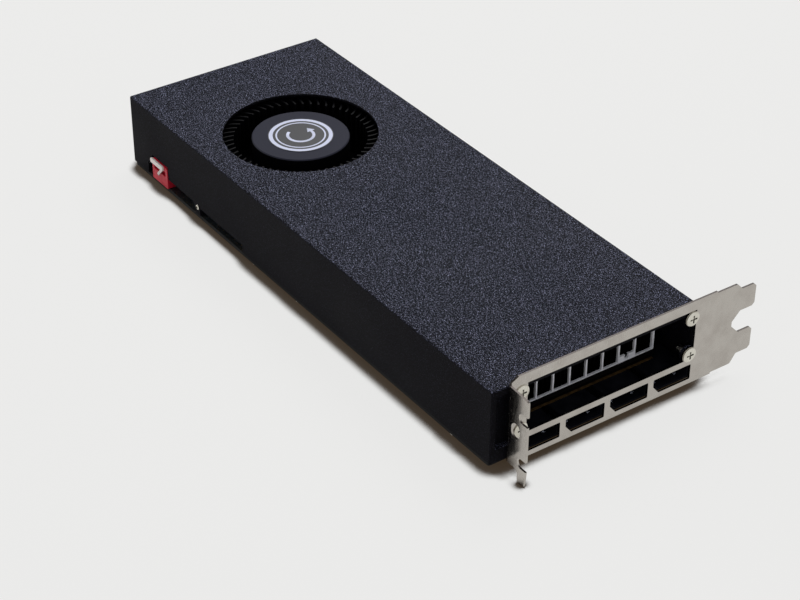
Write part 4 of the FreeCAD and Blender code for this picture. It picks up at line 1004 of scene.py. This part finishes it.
@dataclass
class Cooler:
    """Heat sink, outlet guide and the cross that holds them."""

    guide_front_mm: float = 1.1   # bare front of the outlet guide's ribs
    guide_shade_mm: float = 2.3     # height of the painted shade, black, along the outlet guide's lower edge
    # aluminium foil fins coloured deep matt black as painted shade for the dark inside the cooler
    fin: DrawnMetal = DrawnMetal(
        "fin_painted_shade_black", "#0e0e10", "#08080a", 0.5, line_mm=0.5, along=(0.04, 1.0, 1.0),
    )
    # pressed aluminium, black with painted shade behind its ribs and along its lower edge: pale ribs before a
    # dark body, their near-white tone partly painted reflection
    guide: PartCoated = PartCoated("pressed_aluminium", "#f6f7fa", "#eaebf0", metallic=0.2, roughness=0.32)
    # blackened spring steel: dark grey with long rolling lines
    spring: PlatedSteel = PlatedSteel(
        "black_oxide_spring_steel", "#4a4a4c", "#363638", 0.42, Process.ROLLED, line=(0.1, 1.0, 1.0),
    )
    # black zinc on steel: dim grey heads with soft gloss
    screw: PlatedSteel = PlatedSteel("black_zinc_screw", "#57585b", "#3e3f41", 0.3, Process.BARREL_PLATED)

    def build(self) -> None:
        """Dresses fins, guide, cross and its screws."""
        dress(["fin_stack"], self.fin.build())
        low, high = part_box("outlet_guide")
        edges = (("X", high.x - self.guide_front_mm * MM), ("Z", low.z + self.guide_shade_mm * MM))
        dress(["outlet_guide"], replace(self.guide, edges=edges).build())
        dress(["retention_plate"], self.spring.build())
        dress(["retention_screws"], self.screw.build())


@dataclass
class Blower:
    """Blower housing, motor and the turning wheel."""

    face_mm: float = 0.4          # depth below the hub's top down to which the painted sheen reaches
    arrow_mm: Pair = (5.0, 6.3)   # inner and outer radius of the printed arrow
    arrow_deg: Pair = (-150.0, 95.0)              # where it starts and ends
    arrow_steps: int = 48
    head_mm: float = 3.0          # length of the arrow's head
    head_share: float = 0.65      # half its width as a share of its length
    print_mm: float = 0.04        # height of the ink
    seat_mm: float = 0.01         # how far the ink sinks into the badge
    # glass-filled polyester, injection moulded: flat black
    shell: MouldedPlastic = MouldedPlastic("black_pbt", "#09090b", 0.55)
    wheel: WheelPlastic = field(default_factory=WheelPlastic)
    badge: PrintedBadge = field(default_factory=PrintedBadge)
    # screen-printed ink: an even pale film
    ink: MouldedPlastic = MouldedPlastic(
        "pale_print_ink", "#bcc1d6", 0.4, Process.POLISHED_MOULD, specular=0.35,
    )
    # sintered bronze: warm and dull, with oil in its pores
    sleeve: DrawnMetal = DrawnMetal("sintered_bronze", "#a87a45", "#7d5a33", 0.45)
    # stamped electrical steel in a stack: grey with fine dark joints
    sheets: Banded = Banded("stacked_electrical_steel", "#8f9195", "#4a4b4e", 0.5)
    # enamelled copper wire, wound: glossy orange-brown turns
    coils: Banded = Banded("enamelled_copper_wire", "#b4622e", "#5d2c14", 0.35)
    # ferrite powder bonded in nylon: charcoal with a dry grain
    magnet: MouldedPlastic = MouldedPlastic("bonded_ferrite", "#2b2a2c", 0.55, Process.SINTERED)
    # ground steel: bright, with hair-fine lines
    steel: PlatedSteel = PlatedSteel("ground_steel", "#b9babd", "#8f9094", 0.2)

    def build(self) -> None:
        """Dresses the blower and prints the badge."""
        dress(["blower_housing"], self.shell.build())
        dress(["bearing_sleeve"], self.sleeve.build())
        dress(["motor_stator"], self.sheets.build())
        dress(["stator_windings"], self.coils.build())
        face_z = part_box("impeller")[1].z - self.face_mm * MM
        dress(["impeller"], replace(self.wheel, face_z=face_z).build())
        dress(["magnet_ring"], self.magnet.build())
        dress(["fan_shaft", "rotor_cup"], self.steel.build())
        low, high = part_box("hub_label")
        centre = (low + high) / 2
        dress(["hub_label"], replace(self.badge, centre=(centre.x, centre.y)).build())
        self.spin_mark(centre, high.z)

    def spin_mark(self, centre: Vector, top: float) -> None:
        """Prints a curved arrow that shows which way the wheel turns.

        Args:
            centre: middle of the badge.
            top: the badge's upper face.
        """
        mesh = bmesh.new()
        lower, upper = top - self.seat_mm * MM, top + self.print_mm * MM
        inner, outer = self.arrow_mm
        begin, end = (math.radians(angle) for angle in self.arrow_deg)
        rings = []
        for i in range(self.arrow_steps + 1):
            angle = begin + (end - begin) * i / self.arrow_steps
            way = Vector((math.cos(angle), math.sin(angle), 0))
            near, far = centre + way * inner * MM, centre + way * outer * MM
            section = ((near, lower), (near, upper), (far, upper), (far, lower))
            rings.append([(spot.x, spot.y, level) for spot, level in section])
        skin(mesh, rings)
        out, ahead = Vector((math.cos(end), math.sin(end), 0)), Vector((-math.sin(end), math.cos(end), 0))
        middle, half = (inner + outer) / 2, self.head_mm * self.head_share
        corners = [
            centre + out * (middle + half) * MM,
            centre + out * (middle - half) * MM,
            centre + (out * middle + ahead * self.head_mm) * MM,
        ]
        skin(mesh, [[(spot.x, spot.y, level) for spot in corners] for level in (lower, upper)])
        piece("spin_mark", mesh, self.ink.build(), "fan")


@dataclass
class Connectors:
    """Rear power socket, side connector and fan header."""

    # nylon, injection moulded: black, with a soft spark-eroded grain
    socket: MouldedPlastic = MouldedPlastic("black_nylon", "#17171a", 0.45)
    # nylon, injection moulded: saturated red, a little dull
    red: MouldedPlastic = MouldedPlastic("red_nylon", "#b0152a", 0.42, specular=0.25)
    # unfilled nylon: ivory
    ivory: MouldedPlastic = MouldedPlastic("ivory_nylon", "#cfc9c2", 0.42)
    # tin on stamped brass: pale and slightly warm
    pin: PlatedSteel = PlatedSteel("tin_plated_brass", "#cfc9b8", "#a59d88", 0.25, Process.BARREL_PLATED)

    def build(self) -> None:
        """Dresses the connectors."""
        dress(["power_socket"], self.socket.build())
        dress(["power_pins"], self.pin.build())
        dress(["side_connector"], self.red.build())
        dress(["side_connector_clip", "fan_header"], self.ivory.build())


# ---------------------------------------------------------------- studio
@dataclass
class Studio:
    """Pale floor, soft lamps, world and camera."""

    eye_mm: Triple = (527.67, -481.98, 481.34)
    turn_deg: Triple = (55.619, -0.208, 55.019)
    lens_mm: float = 94.21
    sensor_mm: float = 36.0
    near_clip: float = 0.01       # in metres, as the floor's span is
    floor_span: float = 6.0
    floor_gap_mm: float = 0.05    # keeps the floor off the faces that stand on it
    horn_inset_mm: float = 3.0    # from the bracket's front to where its horn stands
    head_inset_mm: float = 2.6    # from the screws' box to a head's middle
    backdrop: str = "#ebebea"
    fill_tone: str = "#fbfbff"
    fill: float = 0.64
    aim: Triple = (-0.07, -0.06, 0.0)             # the card's middle, in metres
    # each lamp's name, place in metres, side in metres and power in watts
    lamps: tuple[tuple[str, Triple, float, float], ...] = (
        ("key", (-0.7, 0.75, 1.25), 0.9, 14.5),
        ("rear", (-1.2, -0.7, 0.5), 0.7, 3.625),
    )
    floor: PaleFloor = field(default_factory=PaleFloor)

    def build(self) -> None:
        """Sets the floor, world, lamps and camera."""
        self.ground()
        self.world()
        for name, spot, side, watts in self.lamps:
            self.lamp(name, Vector(spot), side, watts)
        self.camera()

    def ground(self) -> None:
        """Lays the floor under the bracket's horn and the rear screw heads."""
        horn_low, horn_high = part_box("io_bracket")
        screw_low, screw_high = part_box("shroud_screws")
        inset = self.head_inset_mm * MM
        front = Vector((horn_high.x - self.horn_inset_mm * MM, horn_low.y, horn_low.z))
        rear_near = Vector((screw_low.x + inset, screw_low.y + inset, screw_low.z))
        rear_far = Vector((screw_low.x + inset, screw_high.y - inset, screw_low.z))
        normal = (rear_near - front).cross(rear_far - front).normalized()
        if normal.z < 0:
            normal.negate()
        mesh = bmesh.new()
        bmesh.ops.create_grid(mesh, x_segments=8, y_segments=8, size=self.floor_span / 2)
        data = bpy.data.meshes.new("floor")
        mesh.to_mesh(data)
        mesh.free()
        data.materials.append(self.floor.build())
        floor = bpy.data.objects.new("floor", data)
        floor.rotation_euler = normal.to_track_quat("Z", "Y").to_euler()
        floor.location = front - normal * self.floor_gap_mm * MM
        bpy.context.scene.collection.objects.link(floor)

    def world(self) -> None:
        """Sets a pale world that the camera and glossy surfaces see, with a gentler fill for the rest."""
        world = bpy.data.worlds.new("studio")
        bpy.context.scene.world = world
        world.use_nodes = True
        tree = world.node_tree
        tree.nodes.clear()
        seen = add(tree, "Background", {"Color": self.backdrop, "Strength": 1.0})
        rest = add(tree, "Background", {"Color": self.fill_tone, "Strength": self.fill})
        both = add(tree, "MixShader", {0: seen_directly(tree), 1: rest, 2: seen})
        add(tree, "OutputWorld", {"Surface": both})

    def lamp(self, name: str, spot: Vector, side: float, watts: float) -> None:
        """Hangs a soft square lamp that faces the card.

        Args:
            name: the lamp's name.
            spot: its place in metres.
            side: its side in metres.
            watts: its power.
        """
        data = bpy.data.lights.new(name, "AREA")
        data.size = side
        data.energy = watts
        lamp = bpy.data.objects.new(name, data)
        lamp.location = spot
        lamp.rotation_euler = (Vector(self.aim) - spot).to_track_quat("-Z", "Y").to_euler()
        bpy.context.scene.collection.objects.link(lamp)

    def camera(self) -> None:
        """Sets the camera."""
        data = bpy.data.cameras.new("camera")
        data.lens = self.lens_mm
        data.sensor_width = self.sensor_mm
        data.clip_start = self.near_clip
        camera = bpy.data.objects.new("camera", data)
        camera.location = Vector(self.eye_mm) * MM
        camera.rotation_euler = Euler([math.radians(angle) for angle in self.turn_deg])
        bpy.context.scene.collection.objects.link(camera)
        bpy.context.scene.camera = camera


def main() -> None:
    """Builds every sub-assembly in order."""
    logging.basicConfig(level=logging.INFO, format="%(message)s")
    parts = (
        Shroud(), Bracket(), DisplaySockets(), Board(), SolderSide(),
        Cooler(), Blower(), Connectors(), Studio(),
    )
    for part in parts:
        LOG.info("building %s", type(part).__name__)
        part.build()
    bpy.context.scene.view_settings.view_transform = "Standard"


if __name__ == "__main__":
    main()
